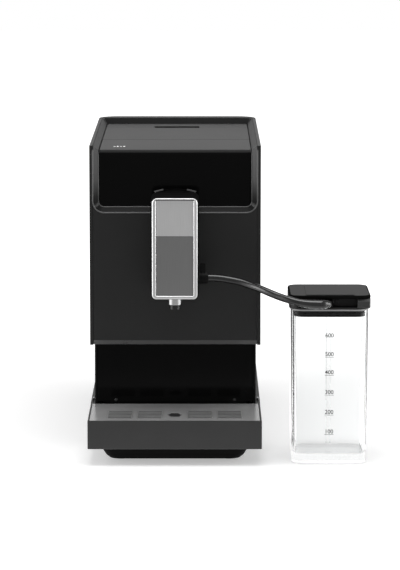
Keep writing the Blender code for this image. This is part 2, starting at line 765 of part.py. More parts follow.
KNOB_RADIUS = 0.0115
KNOB_HEIGHT = 0.0120
KNOB_GEAR_GAP = 0.0010
KNOB_RIDGES = 12
KNOB_RIDGE = 0.0010
LID_SKIRT = 0.0070
SKIRT_WALL = 0.0020


def hopper_ring(draw_in):
    half = HOPPER_HALF - FIT - draw_in
    front = HOPPER_FRONT + FIT + draw_in
    rear = HOPPER_REAR - FIT - draw_in
    return rounded(-half, half, front, rear, HOPPER_CORNER)


def make_hopper():
    neck = quartered_round(0, GRIND_Y, NECK_RADIUS)
    throat = quartered_round(0, GRIND_Y, NECK_RADIUS - HOPPER_WALL)
    levels = [
        (neck, NECK_BOTTOM),
        (neck, NECK_TOP),
        (hopper_ring(HOPPER_TAPER), HOPPER_SLOPE_TOP),
        (hopper_ring(0), HOPPER_SHOULDER),
        (hopper_ring(0), HOPPER_RIM),
        (hopper_ring(HOPPER_WALL), HOPPER_RIM),
        (hopper_ring(HOPPER_WALL), HOPPER_SHOULDER),
        (hopper_ring(HOPPER_TAPER + HOPPER_WALL), HOPPER_SLOPE_TOP + HOPPER_WALL),
        (throat, NECK_TOP + HOPPER_WALL),
        (throat, NECK_BOTTOM),
    ]
    smoked = finish("smoked_plastic", SMOKED, 0.15, 0, 0.6)
    hopper = piece("bean_hopper", stack(fresh(), "Z", levels, closed=True), smoked, smooth=True)
    post_low = BURR_TOP + RING_FLANGE + KNOB_GEAR_GAP
    join(hopper, turned(fresh(), "Z", KNOB_X, KNOB_Y, [(KNOB_POST, post_low), (KNOB_POST, KNOB_POST_TOP)]))
    bore = KNOB_SHAFT + FIT
    span = [(bore, post_low - OVERRUN), (bore, KNOB_POST_TOP + OVERRUN)]
    cut(hopper, turned(fresh(), "Z", KNOB_X, KNOB_Y, span))


def make_knob():
    foot = KNOB_POST_TOP + FIT
    outline = []
    for k in range(2 * KNOB_RIDGES):
        reach = KNOB_RADIUS - (k % 2) * KNOB_RIDGE
        angle = pi * k / KNOB_RIDGES
        outline.append((KNOB_X + reach * cos(angle), KNOB_Y + reach * sin(angle)))
    solid = prism(fresh(), "Z", outline, foot, foot + KNOB_HEIGHT)
    knob = piece("grind_knob", solid, inner, (KNOB_X, KNOB_Y, foot))
    low = BURR_TOP + FIT
    join(knob, turned(fresh(), "Z", KNOB_X, KNOB_Y, [(KNOB_SHAFT, low), (KNOB_SHAFT, foot + OVERRUN)]))
    phase = KNOB_TURN + pi + pi / KNOB_TEETH
    teeth = gear_outline(KNOB_X, KNOB_Y, KNOB_PITCH_RADIUS, KNOB_TEETH, phase)
    join(knob, prism(fresh(), "Z", teeth, low, BURR_TOP + RING_FLANGE))


def grip_tool():
    """The finger grip that the bean lid and the tank lid share at their seam."""
    outline = rounded(-GRIP_HALF, GRIP_HALF, SEAM_Y - GRIP_REACH, SEAM_Y + GRIP_REACH, GRIP_CORNER)
    return prism(fresh(), "Z", outline, WELL_FLOOR, TOP_LEVEL + OVERRUN)


def make_bean_lid():
    front = STRIP_LENGTH + 2 * FIT
    rear = SEAM_Y - FIT
    low = TOP_LEVEL - PANEL_THICK
    solid = block(fresh(), (-FASCIA_HALF, front, low), (FASCIA_HALF, rear, TOP_LEVEL))
    lid = piece("bean_lid", solid, panel, (0, (front + rear) / 2, low))
    outer = hopper_ring(HOPPER_WALL + FIT)
    lining = hopper_ring(HOPPER_WALL + FIT + SKIRT_WALL)
    top = low + BASE_LAP
    foot = low - LID_SKIRT
    join(lid, stack(fresh(), "Z", [(outer, foot), (outer, top), (lining, top), (lining, foot)], closed=True))
    cut(lid, grip_tool())


# Grinder
HOUSING_RADIUS = 0.0325
HOUSING_BORE = 0.0297
HOUSING_FLOOR = 0.0040
LEG_REACH = 0.0310
LEG_RADIUS = 0.0030
LEG_TURNS = (-pi / 2, 0, pi / 2)
CHUTE_HALF = 0.0105
CHUTE_SILL = 0.0020
CHUTE_WINDOW = 0.0160
CHUTE_WINDOW_LOW = HOUSING_BOTTOM + HOUSING_FLOOR + CHUTE_SILL
CHUTE_WINDOW_HIGH = CHUTE_WINDOW_LOW + CHUTE_WINDOW
RING_OUTER = HOUSING_BORE - 2 * FIT
RING_DEPTH = 0.0318
RING_BOTTOM = BURR_TOP - RING_DEPTH
RING_THROAT = 0.0225
RING_MOUTH = 0.0262
CONE_RADIUS = 0.0205
CONE_DROP = 0.0035
CONE_RIM = 0.0070
CONE_SLOPE = 0.0180
CONE_POINT = 0.0060
CONE_BOTTOM = RING_BOTTOM - CONE_DROP
CONE_SHOULDER = CONE_BOTTOM + CONE_RIM
CONE_WAIST = CONE_SHOULDER + CONE_SLOPE
CONE_TIP = CONE_WAIST + CONE_POINT
CONE_WAIST_RADIUS = 0.0120
CONE_TIP_RADIUS = 0.0050
SHAFT_RADIUS = 0.0060
GEAR_GAP = 0.0030
GEAR_THICK = 0.0100
SHAFT_END = 0.0038
GEAR_HIGH = HOUSING_BOTTOM - GEAR_GAP
GEAR_LOW = GEAR_HIGH - GEAR_THICK
SHAFT_BOTTOM = GEAR_LOW - SHAFT_END
BURR_GEAR_RADIUS = 0.0240
BURR_GEAR_TEETH = 24
PINION_TEETH = 12
PINION_RADIUS = BURR_GEAR_RADIUS * PINION_TEETH / BURR_GEAR_TEETH
MOTOR_X = -(BURR_GEAR_RADIUS + PINION_RADIUS + FIT)
MOTOR_RADIUS = 0.0220
MOTOR_GAP = 0.0045
MOTOR_TOP = GEAR_LOW - MOTOR_GAP
STEM_RADIUS = 0.0030
STEM_DEPTH = 0.0055
MOTOR_EDGE = 0.0020


def make_grinder():
    floor = HOUSING_BOTTOM + HOUSING_FLOOR
    top = BURR_TOP - FIT
    hole = SHAFT_RADIUS + FIT
    profile = [
        (hole, HOUSING_BOTTOM),
        (HOUSING_RADIUS, HOUSING_BOTTOM),
        (HOUSING_RADIUS, top),
        (HOUSING_BORE, top),
        (HOUSING_BORE, floor),
        (hole, floor),
    ]
    solid = turned(fresh(), "Z", 0, GRIND_Y, profile, closed=True, count=FINE_ROUND)
    housing = piece("grinder_housing", solid, inner, (0, GRIND_Y, HOUSING_BOTTOM), smooth=True)
    for turn in LEG_TURNS:
        x = LEG_REACH * cos(turn)
        y = GRIND_Y + LEG_REACH * sin(turn)
        leg = [(LEG_RADIUS, DECK_TOP + FIT), (LEG_RADIUS, HOUSING_BOTTOM + HOUSING_FLOOR / 2)]
        join(housing, turned(fresh(), "Z", x, y, leg, count=12))
    cut(
        housing,
        block(
            fresh(),
            (-CHUTE_HALF, GRIND_Y - HOUSING_RADIUS - OVERRUN, CHUTE_WINDOW_LOW),
            (CHUTE_HALF, GRIND_Y - HOUSING_BORE / 2, CHUTE_WINDOW_HIGH),
        ),
    )


def make_ring_burr():
    flange_top = BURR_TOP + RING_FLANGE
    teeth = gear_outline(0, GRIND_Y, RING_PITCH_RADIUS, RING_TEETH, KNOB_TURN)
    solid = prism(fresh(), "Z", teeth, BURR_TOP, flange_top)
    burr = piece("ring_burr", solid, steel, (0, GRIND_Y, BURR_TOP))
    body = [(RING_OUTER, RING_BOTTOM), (RING_OUTER, BURR_TOP + BASE_LAP)]
    join(burr, turned(fresh(), "Z", 0, GRIND_Y, body, count=FINE_ROUND))
    low = RING_BOTTOM - OVERRUN
    middle = (CONE_WAIST + CONE_SHOULDER) / 2
    bore = [(RING_THROAT, low), (RING_THROAT, middle), (RING_MOUTH, flange_top + OVERRUN)]
    cut(burr, turned(fresh(), "Z", 0, GRIND_Y, bore, count=FINE_ROUND))


def make_cone_burr():
    profile = [
        (SHAFT_RADIUS, SHAFT_BOTTOM),
        (SHAFT_RADIUS, CONE_BOTTOM),
        (CONE_RADIUS, CONE_BOTTOM),
        (CONE_RADIUS, CONE_SHOULDER),
        (CONE_WAIST_RADIUS, CONE_WAIST),
        (CONE_TIP_RADIUS, CONE_TIP),
    ]
    solid = turned(fresh(), "Z", 0, GRIND_Y, profile)
    piece("cone_burr", solid, steel, (0, GRIND_Y, SHAFT_BOTTOM), smooth=True)


def make_gears():
    teeth = gear_outline(0, GRIND_Y, BURR_GEAR_RADIUS, BURR_GEAR_TEETH, pi)
    nylon = finish("gear_nylon", CLEAR, 0.45)
    at = (0, GRIND_Y, GEAR_LOW)
    gear = piece("burr_gear", prism(fresh(), "Z", teeth, GEAR_LOW, GEAR_HIGH), nylon, at)
    bore = SHAFT_RADIUS + FIT
    low = GEAR_LOW - OVERRUN
    cut(gear, turned(fresh(), "Z", 0, GRIND_Y, [(bore, low), (bore, GEAR_HIGH + OVERRUN)]))
    phase = pi / PINION_TEETH
    small = gear_outline(MOTOR_X, GRIND_Y, PINION_RADIUS, PINION_TEETH, phase)
    solid = prism(fresh(), "Z", small, GEAR_LOW - BASE_LAP, GEAR_HIGH + BASE_LAP)
    pinion = piece("motor_pinion", solid, steel, (MOTOR_X, GRIND_Y, GEAR_LOW))
    stem = [(STEM_RADIUS, MOTOR_TOP - STEM_DEPTH), (STEM_RADIUS, GEAR_HIGH)]
    join(pinion, turned(fresh(), "Z", MOTOR_X, GRIND_Y, stem))


def make_grinder_motor():
    bore = STEM_RADIUS + FIT
    profile = [
        (MOTOR_RADIUS, DECK_TOP + FIT),
        (MOTOR_RADIUS, MOTOR_TOP - MOTOR_EDGE),
        (MOTOR_RADIUS - MOTOR_EDGE, MOTOR_TOP),
        (bore, MOTOR_TOP),
        (bore, MOTOR_TOP - STEM_DEPTH - FIT),
    ]
    solid = turned(fresh(), "Z", MOTOR_X, GRIND_Y, profile)
    piece("grinder_motor", solid, dark_steel, (MOTOR_X, GRIND_Y, DECK_TOP), smooth=True)


# Brew unit
BREW_Y = 0.0660
BREW_HALF = 0.0300
BREW_FRONT = 0.0340
BREW_REAR = 0.1050
BREW_PLATE = 0.0050
BREW_BACK = 0.0060
BRIDGE_FRONT = 0.0420
BRIDGE_THICK = 0.0060
BREW_MOTOR_GAP = 0.0135
BREW_MOTOR_HEIGHT = 0.0260
CONTROL_DROP = 0.0087
CONTROL_Z = BOARD_BAY_TOP - CONTROL_DROP
BREW_MOTOR_TOP = CONTROL_Z - BREW_MOTOR_GAP
BRIDGE_HIGH = BREW_MOTOR_TOP - BREW_MOTOR_HEIGHT
BRIDGE_LOW = BRIDGE_HIGH - BRIDGE_THICK
INLET_DROP = 0.0060
INLET_HEIGHT = 0.0150
INLET_LOW = CHUTE_WINDOW_LOW - INLET_DROP
INLET_HIGH = INLET_LOW + INLET_HEIGHT
CYLINDER_RADIUS = 0.0265
CYLINDER_BORE = 0.0230
CYLINDER_HEIGHT = 0.0600
CYLINDER_FLOOR = 0.0035
PISTON_GAP = 0.0030
PISTON_THICK = 0.0110
PISTON_STEM = 0.0095
PISTON_STEM_GAP = 0.0200
SPINDLE_RADIUS = 0.0050
SPINDLE_GAP = 0.0035
SPINDLE_DROP = 0.0040
CYLINDER_TOP = DECK_TOP + CYLINDER_HEIGHT
PISTON_LOW = CYLINDER_TOP + PISTON_GAP
PISTON_HIGH = PISTON_LOW + PISTON_THICK
PISTON_STEM_TOP = BRIDGE_LOW - PISTON_STEM_GAP
SPINDLE_BOTTOM = PISTON_HIGH + SPINDLE_GAP
SPINDLE_TOP = BREW_MOTOR_TOP - SPINDLE_DROP
BREW_MOTOR_HALF = 0.0240
CHUTE_WALL = 0.0015
CHUTE_DEPTH = 0.0120
CHUTE_FALL = 0.0060


def make_brew_frame():
    low = DECK_TOP + FIT
    profile = [
        (BREW_FRONT, low),
        (BREW_REAR, low),
        (BREW_REAR, BRIDGE_HIGH),
        (BRIDGE_FRONT, BRIDGE_HIGH),
        (BRIDGE_FRONT, BRIDGE_LOW),
        (BREW_REAR - BREW_BACK, BRIDGE_LOW),
        (BREW_REAR - BREW_BACK, low + BREW_PLATE),
        (BREW_FRONT, low + BREW_PLATE),
    ]
    frame = piece("brew_frame", prism(fresh(), "X", profile, -BREW_HALF, BREW_HALF), inner)
    cut(
        frame,
        block(
            fresh(),
            (-CHUTE_HALF, BREW_REAR - BREW_BACK - OVERRUN, INLET_LOW),
            (CHUTE_HALF, BREW_REAR + OVERRUN, INLET_HIGH),
        ),
    )
    bore = SPINDLE_RADIUS + FIT
    span = [(bore, BRIDGE_LOW - OVERRUN), (bore, BRIDGE_HIGH + OVERRUN)]
    cut(frame, turned(fresh(), "Z", 0, BREW_Y, span))


def make_brew_parts():
    low = DECK_TOP + 2 * FIT + BREW_PLATE
    cup = [
        (CYLINDER_RADIUS, low),
        (CYLINDER_RADIUS, CYLINDER_TOP),
        (CYLINDER_BORE, CYLINDER_TOP),
        (CYLINDER_BORE, low + CYLINDER_FLOOR),
    ]
    at = (0, BREW_Y, low)
    piece("brew_cylinder", turned(fresh(), "Z", 0, BREW_Y, cup, count=FINE_ROUND), inner, at, smooth=True)
    disc = CYLINDER_BORE - FIT
    bore = SPINDLE_RADIUS + FIT
    ram = [
        (disc, PISTON_LOW),
        (disc, PISTON_HIGH),
        (PISTON_STEM, PISTON_HIGH),
        (PISTON_STEM, PISTON_STEM_TOP),
        (bore, PISTON_STEM_TOP),
        (bore, SPINDLE_BOTTOM - FIT),
    ]
    at = (0, BREW_Y, PISTON_LOW)
    piece("brew_piston", turned(fresh(), "Z", 0, BREW_Y, ram, count=FINE_ROUND), inner, at, smooth=True)
    rod = [(SPINDLE_RADIUS, SPINDLE_BOTTOM), (SPINDLE_RADIUS, SPINDLE_TOP)]
    at = (0, BREW_Y, SPINDLE_BOTTOM)
    piece("brew_spindle", turned(fresh(), "Z", 0, BREW_Y, rod), steel, at, smooth=True)
    solid = block(
        fresh(),
        (-BREW_MOTOR_HALF, BREW_Y - BREW_MOTOR_HALF, BRIDGE_HIGH + FIT),
        (BREW_MOTOR_HALF, BREW_Y + BREW_MOTOR_HALF, BREW_MOTOR_TOP),
    )
    motor = piece("brew_motor", solid, dark_steel)
    span = [(bore, BRIDGE_HIGH - OVERRUN), (bore, SPINDLE_TOP + FIT)]
    cut(motor, turned(fresh(), "Z", 0, BREW_Y, span))


def chute_ring(foot):
    """The open-topped channel's outline, with its floor's underside at foot."""
    half = CHUTE_HALF + CHUTE_WALL
    top = foot + CHUTE_DEPTH
    floor = foot + CHUTE_WALL
    return [
        (-half, foot),
        (half, foot),
        (half, top),
        (CHUTE_HALF, top),
        (CHUTE_HALF, floor),
        (-CHUTE_HALF, floor),
        (-CHUTE_HALF, top),
        (-half, top),
    ]


def make_chute():
    high = CHUTE_WINDOW_LOW - CHUTE_WALL
    levels = [
        (chute_ring(high - CHUTE_FALL), BREW_REAR + FIT),
        (chute_ring(high), GRIND_Y - HOUSING_RADIUS - FIT),
    ]
    piece("grounds_chute", stack(fresh(), "Y", levels), inner)


# Water path
TANK_GAP = 0.0025
TANK_HALF = TANK_DOOR_HALF - TANK_GAP
TANK_CORNER = 0.0060
TANK_WALL = 0.0020
TANK_DROP = 0.0060
TANK_TOP = TOP_LEVEL - TANK_DROP
SEAT_HEIGHT = 0.0042
SEAT_RADIUS = 0.0110
SEAT_BORE = 0.0065
OUTLET_RADIUS = SEAT_BORE - FIT
OUTLET_BORE = 0.0035
OUTLET_DROP = 0.0026
TANK_PIN = 0.0009
EAR_INSET = 0.0120
EAR_WIDTH = 0.0080
EAR_DEPTH = 0.0023
EAR_HEIGHT = 0.0040
EAR_GAP = 0.0005
PIN_REACH = 0.0060
NOTCH_GAP = 0.0015
EAR_OUTER = TANK_HALF - EAR_INSET
EAR_INNER = EAR_OUTER - EAR_WIDTH
EAR_FRONT = BARREL_Y - EAR_DEPTH
EAR_LOW = TANK_TOP - EAR_HEIGHT
PIN_HALF = EAR_OUTER + PIN_REACH
NOTCH_FRONT = EAR_FRONT - NOTCH_GAP
TANK_BOTTOM = DECK_TOP + 2 * FIT + SEAT_HEIGHT
PUMP_X = -0.0450
PUMP_RADIUS = 0.0165
SADDLE_UNDER = 0.0030
PUMP_Z = BAY_FLOOR + 2 * FIT + SADDLE_UNDER + PUMP_RADIUS
PUMP_LENGTH = 0.0600
PUMP_SETBACK = 0.0275
PUMP_REAR = TANK_Y - PUMP_SETBACK
PUMP_FRONT = PUMP_REAR - PUMP_LENGTH
PUMP_NOZZLE = 0.0050
PUMP_NOZZLE_LENGTH = 0.0130
SADDLE_HALF = 0.0210
SADDLE_INSET = 0.0100
SADDLE_DROP = 0.0060
SADDLE_FRONT = PUMP_FRONT + SADDLE_INSET
SADDLE_REAR = PUMP_REAR - SADDLE_INSET
SADDLE_TOP = PUMP_Z - SADDLE_DROP
HEATER_DEPTH = 0.02645
HEATER_FRONT = 0.0300
HEATER_REAR = 0.1130
HEATER_LIFT = 0.0355
HEATER_LOW = DECK_TOP + HEATER_LIFT
HEATER_FINS = 6
HEATER_PITCH = 0.0140
HEATER_FIN = 0.0080
HEATER_WEB = 0.0150


def make_valve_seat():
    low = DECK_TOP + FIT
    high = low + SEAT_HEIGHT
    ring = [(SEAT_RADIUS, low), (SEAT_RADIUS, high), (SEAT_BORE, high), (SEAT_BORE, low)]
    solid = turned(fresh(), "Z", 0, TANK_Y, ring, closed=True)
    piece("valve_seat", solid, rubber, (0, TANK_Y, low), smooth=True)


def make_tank():
    def ring(draw_in):
        half = TANK_HALF - draw_in
        return rounded(-half, half, TANK_FRONT + draw_in, TANK_REAR - draw_in, TANK_CORNER - draw_in)

    levels = [
        (ring(0), TANK_BOTTOM),
        (ring(0), TANK_TOP),
        (ring(TANK_WALL), TANK_TOP),
        (ring(TANK_WALL), TANK_BOTTOM + TANK_WALL),
    ]
    clear = finish("clear_plastic", CLEAR, 0.05, 0, 0.9)
    tank = piece("water_tank", stack(fresh(), "Z", levels), clear, (0, TANK_Y, TANK_BOTTOM))
    low = TANK_BOTTOM - OUTLET_DROP
    stub = [(OUTLET_RADIUS, low), (OUTLET_RADIUS, TANK_BOTTOM + TANK_WALL / 2)]
    join(tank, turned(fresh(), "Z", 0, TANK_Y, stub))
    hole = [(OUTLET_BORE, low - OVERRUN), (OUTLET_BORE, TANK_BOTTOM + TANK_WALL + OVERRUN)]
    cut(tank, turned(fresh(), "Z", 0, TANK_Y, hole))
    ear = [(EAR_FRONT, EAR_LOW), (TANK_REAR - FIT, EAR_LOW)]
    for k in range(2 * CORNER_STEPS + 1):
        angle = -pi / 4 + k * pi / 2 / CORNER_STEPS
        ear.append((BARREL_Y + BARREL_RADIUS * cos(angle), BARREL_Z + BARREL_RADIUS * sin(angle)))
    for side in (-1, 1):
        join(tank, prism(fresh(), "X", ear, side * EAR_INNER, side * EAR_OUTER))
    bore = TANK_PIN + FIT
    reach = EAR_OUTER + OVERRUN
    cut(tank, turned(fresh(), "X", BARREL_Y, BARREL_Z, [(bore, -reach), (bore, reach)], count=12))


def make_tank_lid():
    low = TOP_LEVEL - PANEL_THICK
    front = SEAM_Y + FIT
    outline = [(front, low), (BARREL_Y - BARREL_RADIUS, low)]
    for k in range(2 * CORNER_STEPS + 1):
        angle = -pi / 2 + k * pi / 2 / CORNER_STEPS
        outline.append((BARREL_Y + BARREL_RADIUS * cos(angle), BARREL_Z + BARREL_RADIUS * sin(angle)))
    outline.append((front, TOP_LEVEL))
    solid = prism(fresh(), "X", outline, -FASCIA_HALF, FASCIA_HALF)
    lid = piece("tank_lid", solid, panel, (0, BARREL_Y, BARREL_Z))
    notches = fresh()
    for side in (-1, 1):
        sides = sorted((side * (EAR_INNER - EAR_GAP), side * (EAR_OUTER + EAR_GAP)))
        low_corner = (sides[0], NOTCH_FRONT, low - OVERRUN)
        block(notches, low_corner, (sides[1], WELL_REAR, TOP_LEVEL + OVERRUN))
    cut(lid, notches)
    bore = TANK_PIN + FIT
    reach = PIN_HALF + FIT
    cut(lid, turned(fresh(), "X", BARREL_Y, BARREL_Z, [(bore, -reach), (bore, reach)], count=12))
    cut(lid, grip_tool())
    pin = turned(fresh(), "X", BARREL_Y, BARREL_Z, [(TANK_PIN, -PIN_HALF), (TANK_PIN, PIN_HALF)], count=12)
    piece("tank_lid_pin", pin, steel, (0, BARREL_Y, BARREL_Z), smooth=True)


def make_pump():
    front = PUMP_FRONT - PUMP_NOZZLE_LENGTH
    rear = PUMP_REAR + PUMP_NOZZLE_LENGTH
    profile = [
        (PUMP_NOZZLE, front),
        (PUMP_NOZZLE, PUMP_FRONT),
        (PUMP_RADIUS, PUMP_FRONT),
        (PUMP_RADIUS, PUMP_REAR),
        (PUMP_NOZZLE, PUMP_REAR),
        (PUMP_NOZZLE, rear),
    ]
    solid = turned(fresh(), "Y", PUMP_X, PUMP_Z, profile)
    piece("water_pump", solid, brass, (PUMP_X, front, PUMP_Z), smooth=True)
    solid = block(
        fresh(),
        (PUMP_X - SADDLE_HALF, SADDLE_FRONT, BAY_FLOOR + FIT),
        (PUMP_X + SADDLE_HALF, SADDLE_REAR, SADDLE_TOP),
    )
    saddle = piece("pump_saddle", solid, rubber)
    cradle = PUMP_RADIUS + FIT
    span = [(cradle, SADDLE_FRONT - OVERRUN), (cradle, SADDLE_REAR + OVERRUN)]
    cut(saddle, turned(fresh(), "Y", PUMP_X, PUMP_Z, span))



def make_heater():
    """A comb of fins on a web that lies against the left wall."""
    wall = -INNER_HALF + FIT
    web = wall + HEATER_WEB
    fin = wall + HEATER_DEPTH
    outline = [(wall, HEATER_LOW)]
    for k in range(HEATER_FINS):
        z = HEATER_LOW + k * HEATER_PITCH
        outline += [(fin, z), (fin, z + HEATER_FIN)]
        if k < HEATER_FINS - 1:
            outline += [(web, z + HEATER_FIN), (web, z + HEATER_PITCH)]
    outline.append((wall, HEATER_LOW + (HEATER_FINS - 1) * HEATER_PITCH + HEATER_FIN))
    solid = prism(fresh(), "Y", outline, HEATER_FRONT, HEATER_REAR)
    piece("thermoblock", solid, finish("cast_aluminium", ALUMINIUM, 0.45, 1))


# Routes of the two inner tubes, each point as shares of the way from the tube's start to its end
TUBE_SETBACK = 0.0080
INLET_SHARES = (
    (0.00, 0.00, 0.00),
    (0.00, 0.00, 0.20),
    (0.12, 0.00, 0.45),
    (0.50, 0.00, 0.75),
    (0.90, 0.05, 0.97),
    (1.00, 0.28, 1.00),
    (1.00, 0.64, 1.00),
    (1.00, 1.00, 1.00),
)
OUTLET_SHARES = (
    (0.00, 0.00, 0.00),
    (0.00, 0.20, 0.00),
    (0.15, 0.52, 0.11),
    (0.62, 0.90, 0.42),
    (0.96, 1.00, 0.72),
    (1.00, 1.00, 1.00),
)
RISE_SHARES = (
    (0.00, 0.00, 0.00),
    (0.00, 0.20, 0.26),
    (0.00, 0.88, 0.52),
    (0.00, 1.00, 0.66),
    (0.00, 1.00, 0.83),
    (0.00, 1.00, 1.00),
)


def between(start, end, shares):
    return [
        tuple(low + share * (high - low) for low, high, share in zip(start, end, point)) for point in shares
    ]


def make_tubes():
    deck = DECK_BOTTOM + DECK_THICK / 2
    start = (0, TANK_Y, DECK_TOP + OVERRUN)
    end = (PUMP_X, PUMP_REAR + PUMP_NOZZLE_LENGTH + FIT, PUMP_Z)
    hose("inlet_tube", between(start, end, INLET_SHARES), TUBE_RADIUS, rubber, 1)
    start = (PUMP_X, PUMP_FRONT - PUMP_NOZZLE_LENGTH - FIT, PUMP_Z)
    middle = (PRESSURE_X, PRESSURE_Y, deck)
    end = (PRESSURE_X, HEATER_REAR - TUBE_SETBACK, HEATER_LOW - FIT)
    route = between(start, middle, OUTLET_SHARES) + between(middle, end, RISE_SHARES)[1:]
    hose("pressure_tube", route, TUBE_RADIUS, rubber, 1)


# Boards
CONTROL_MARGIN = 0.0060
CONTROL_END_GAP = 0.0110
CONTROL_HALF = BOARD_BAY_HALF - CONTROL_MARGIN
CONTROL_FRONT = 0.0150
CONTROL_REAR = BOARD_BAY_REAR - CONTROL_END_GAP
BOARD_THICK = 0.0016
POST_HALF = 0.0025
POST_INSET = 0.0060
POWER_LEFT = 0.0100
POWER_MARGIN = 0.0112
POWER_GAP = 0.0180
POWER_LENGTH = 0.1100
POWER_LIFT = 0.0065
POWER_RIGHT = BAY_HALF - POWER_MARGIN
POWER_FRONT = TRAY_REAR + POWER_GAP
POWER_REAR = POWER_FRONT + POWER_LENGTH
POWER_Z = BAY_FLOOR + POWER_LIFT
RELAY_SIZE = 0.0180
RELAY_HEIGHT = 0.0160
COIL_RADIUS = 0.0120
COIL_HEIGHT = 0.0220


def board_posts(board, left, right, front, rear, low, high):
    for x in (left + POST_INSET, right - POST_INSET):
        for y in (front + POST_INSET, rear - POST_INSET):
            low_corner = (x - POST_HALF, y - POST_HALF, low)
            join(board, block(fresh(), low_corner, (x + POST_HALF, y + POST_HALF, high)))


def make_boards():
    green = finish("circuit_board", BOARD_GREEN, 0.40)
    low_corner = (-CONTROL_HALF, CONTROL_FRONT, CONTROL_Z)
    solid = block(fresh(), low_corner, (CONTROL_HALF, CONTROL_REAR, CONTROL_Z + BOARD_THICK))
    control = piece("control_board", solid, green)
    top = BOARD_BAY_TOP - FIT
    mid = CONTROL_Z + BOARD_THICK / 2
    board_posts(control, -CONTROL_HALF, CONTROL_HALF, CONTROL_FRONT, CONTROL_REAR, mid, top)
    low_corner = (POWER_LEFT, POWER_FRONT, POWER_Z)
    solid = block(fresh(), low_corner, (POWER_RIGHT, POWER_REAR, POWER_Z + BOARD_THICK))
    power = piece("power_board", solid, green)
    mid = POWER_Z + BOARD_THICK / 2
    board_posts(power, POWER_LEFT, POWER_RIGHT, POWER_FRONT, POWER_REAR, BAY_FLOOR + FIT, mid)
    x = (POWER_LEFT + POWER_RIGHT) / 2
    y = POWER_FRONT + RELAY_SIZE
    half = RELAY_SIZE / 2
    join(power, block(fresh(), (x - half, y - half, mid), (x + half, y + half, mid + RELAY_HEIGHT)))
    y = POWER_REAR - 2 * COIL_RADIUS
    join(power, turned(fresh(), "Z", x, y, [(COIL_RADIUS, mid), (COIL_RADIUS, mid + COIL_HEIGHT)]))


# Dispenser, which slides in the channel
DISPENSER_HALF = 0.0250
DISPENSER_REACH = 0.0600
DISPENSER_HEIGHT = 0.1043
DISPENSER_RISE = 0.0011
DISPENSER_CORNER = 0.0050
DISPENSER_BACK = -0.0010
TONGUE_DROP = 0.0027
TONGUE_LIFT = 0.0452
FRAME_DEPTH = 0.0045
FRAME_MARGIN = 0.0014
FRAME_OVERHANG = 0.0005
DISPENSER_FRONT = -DISPENSER_REACH + FRAME_DEPTH
DISPENSER_HIGH = CHANNEL_SHOULDER + DISPENSER_RISE
DISPENSER_LOW = DISPENSER_HIGH - DISPENSER_HEIGHT
TONGUE_LOW = DISPENSER_LOW + TONGUE_LIFT
TONGUE_HIGH = CHANNEL_SHOULDER - TONGUE_DROP
FRAME_FRONT = -DISPENSER_REACH
FRAME_HALF = DISPENSER_HALF - FRAME_MARGIN
FRAME_LOW = DISPENSER_LOW - FRAME_OVERHANG
FRAME_HIGH = DISPENSER_HIGH + FRAME_OVERHANG
FRAME_SIDE = 0.0042
FRAME_FOOT = 0.0037
FRAME_HEAD = 0.0018
FRAME_BEVEL = 0.0012
FRAME_LIP = 0.0008
PLATE_RECESS = 0.0014
UPPER_PLATE = 0.0391
PLATE_FRONT = FRAME_FRONT + PLATE_RECESS
PLATE_SEAM = DISPENSER_HIGH - UPPER_PLATE
SPOUT_Y = -0.0320
SPOUT_RADIUS = 0.0070
SPOUT_BORE = 0.0058
SPOUT_LENGTH = 0.0095
NOZZLE_LENGTH = 0.0050
SPOUT_LOW = DISPENSER_LOW - SPOUT_LENGTH
NOZZLE_LOW = SPOUT_LOW - NOZZLE_LENGTH
NOZZLE_BORE = 0.0013
NOZZLE_HALF_PITCH = 0.0025
NOZZLE_DEPTH = 0.0100
SOCKET_Y = -0.0420
SOCKET_LIFT = 0.0198
SOCKET_RADIUS = 0.0056
SOCKET_COLLAR = 0.0066
SOCKET_LENGTH = 0.0095
SOCKET_COLLARS = 3
FIN_GAP = 0.0008
FIN_LENGTH = 0.0060
FIN_HALF = 0.0025
FIN_DROP = 0.0033
FIN_HEIGHT = 0.0185
SOCKET_Z = DISPENSER_LOW + SOCKET_LIFT
SOCKET_END = DISPENSER_HALF + SOCKET_LENGTH
FIN_START = DISPENSER_HALF + FIN_GAP
FIN_END = FIN_START + FIN_LENGTH
FIN_LOW = SOCKET_Z - FIN_DROP
FIN_HIGH = FIN_LOW + FIN_HEIGHT
HOSE_RADIUS = 0.0038


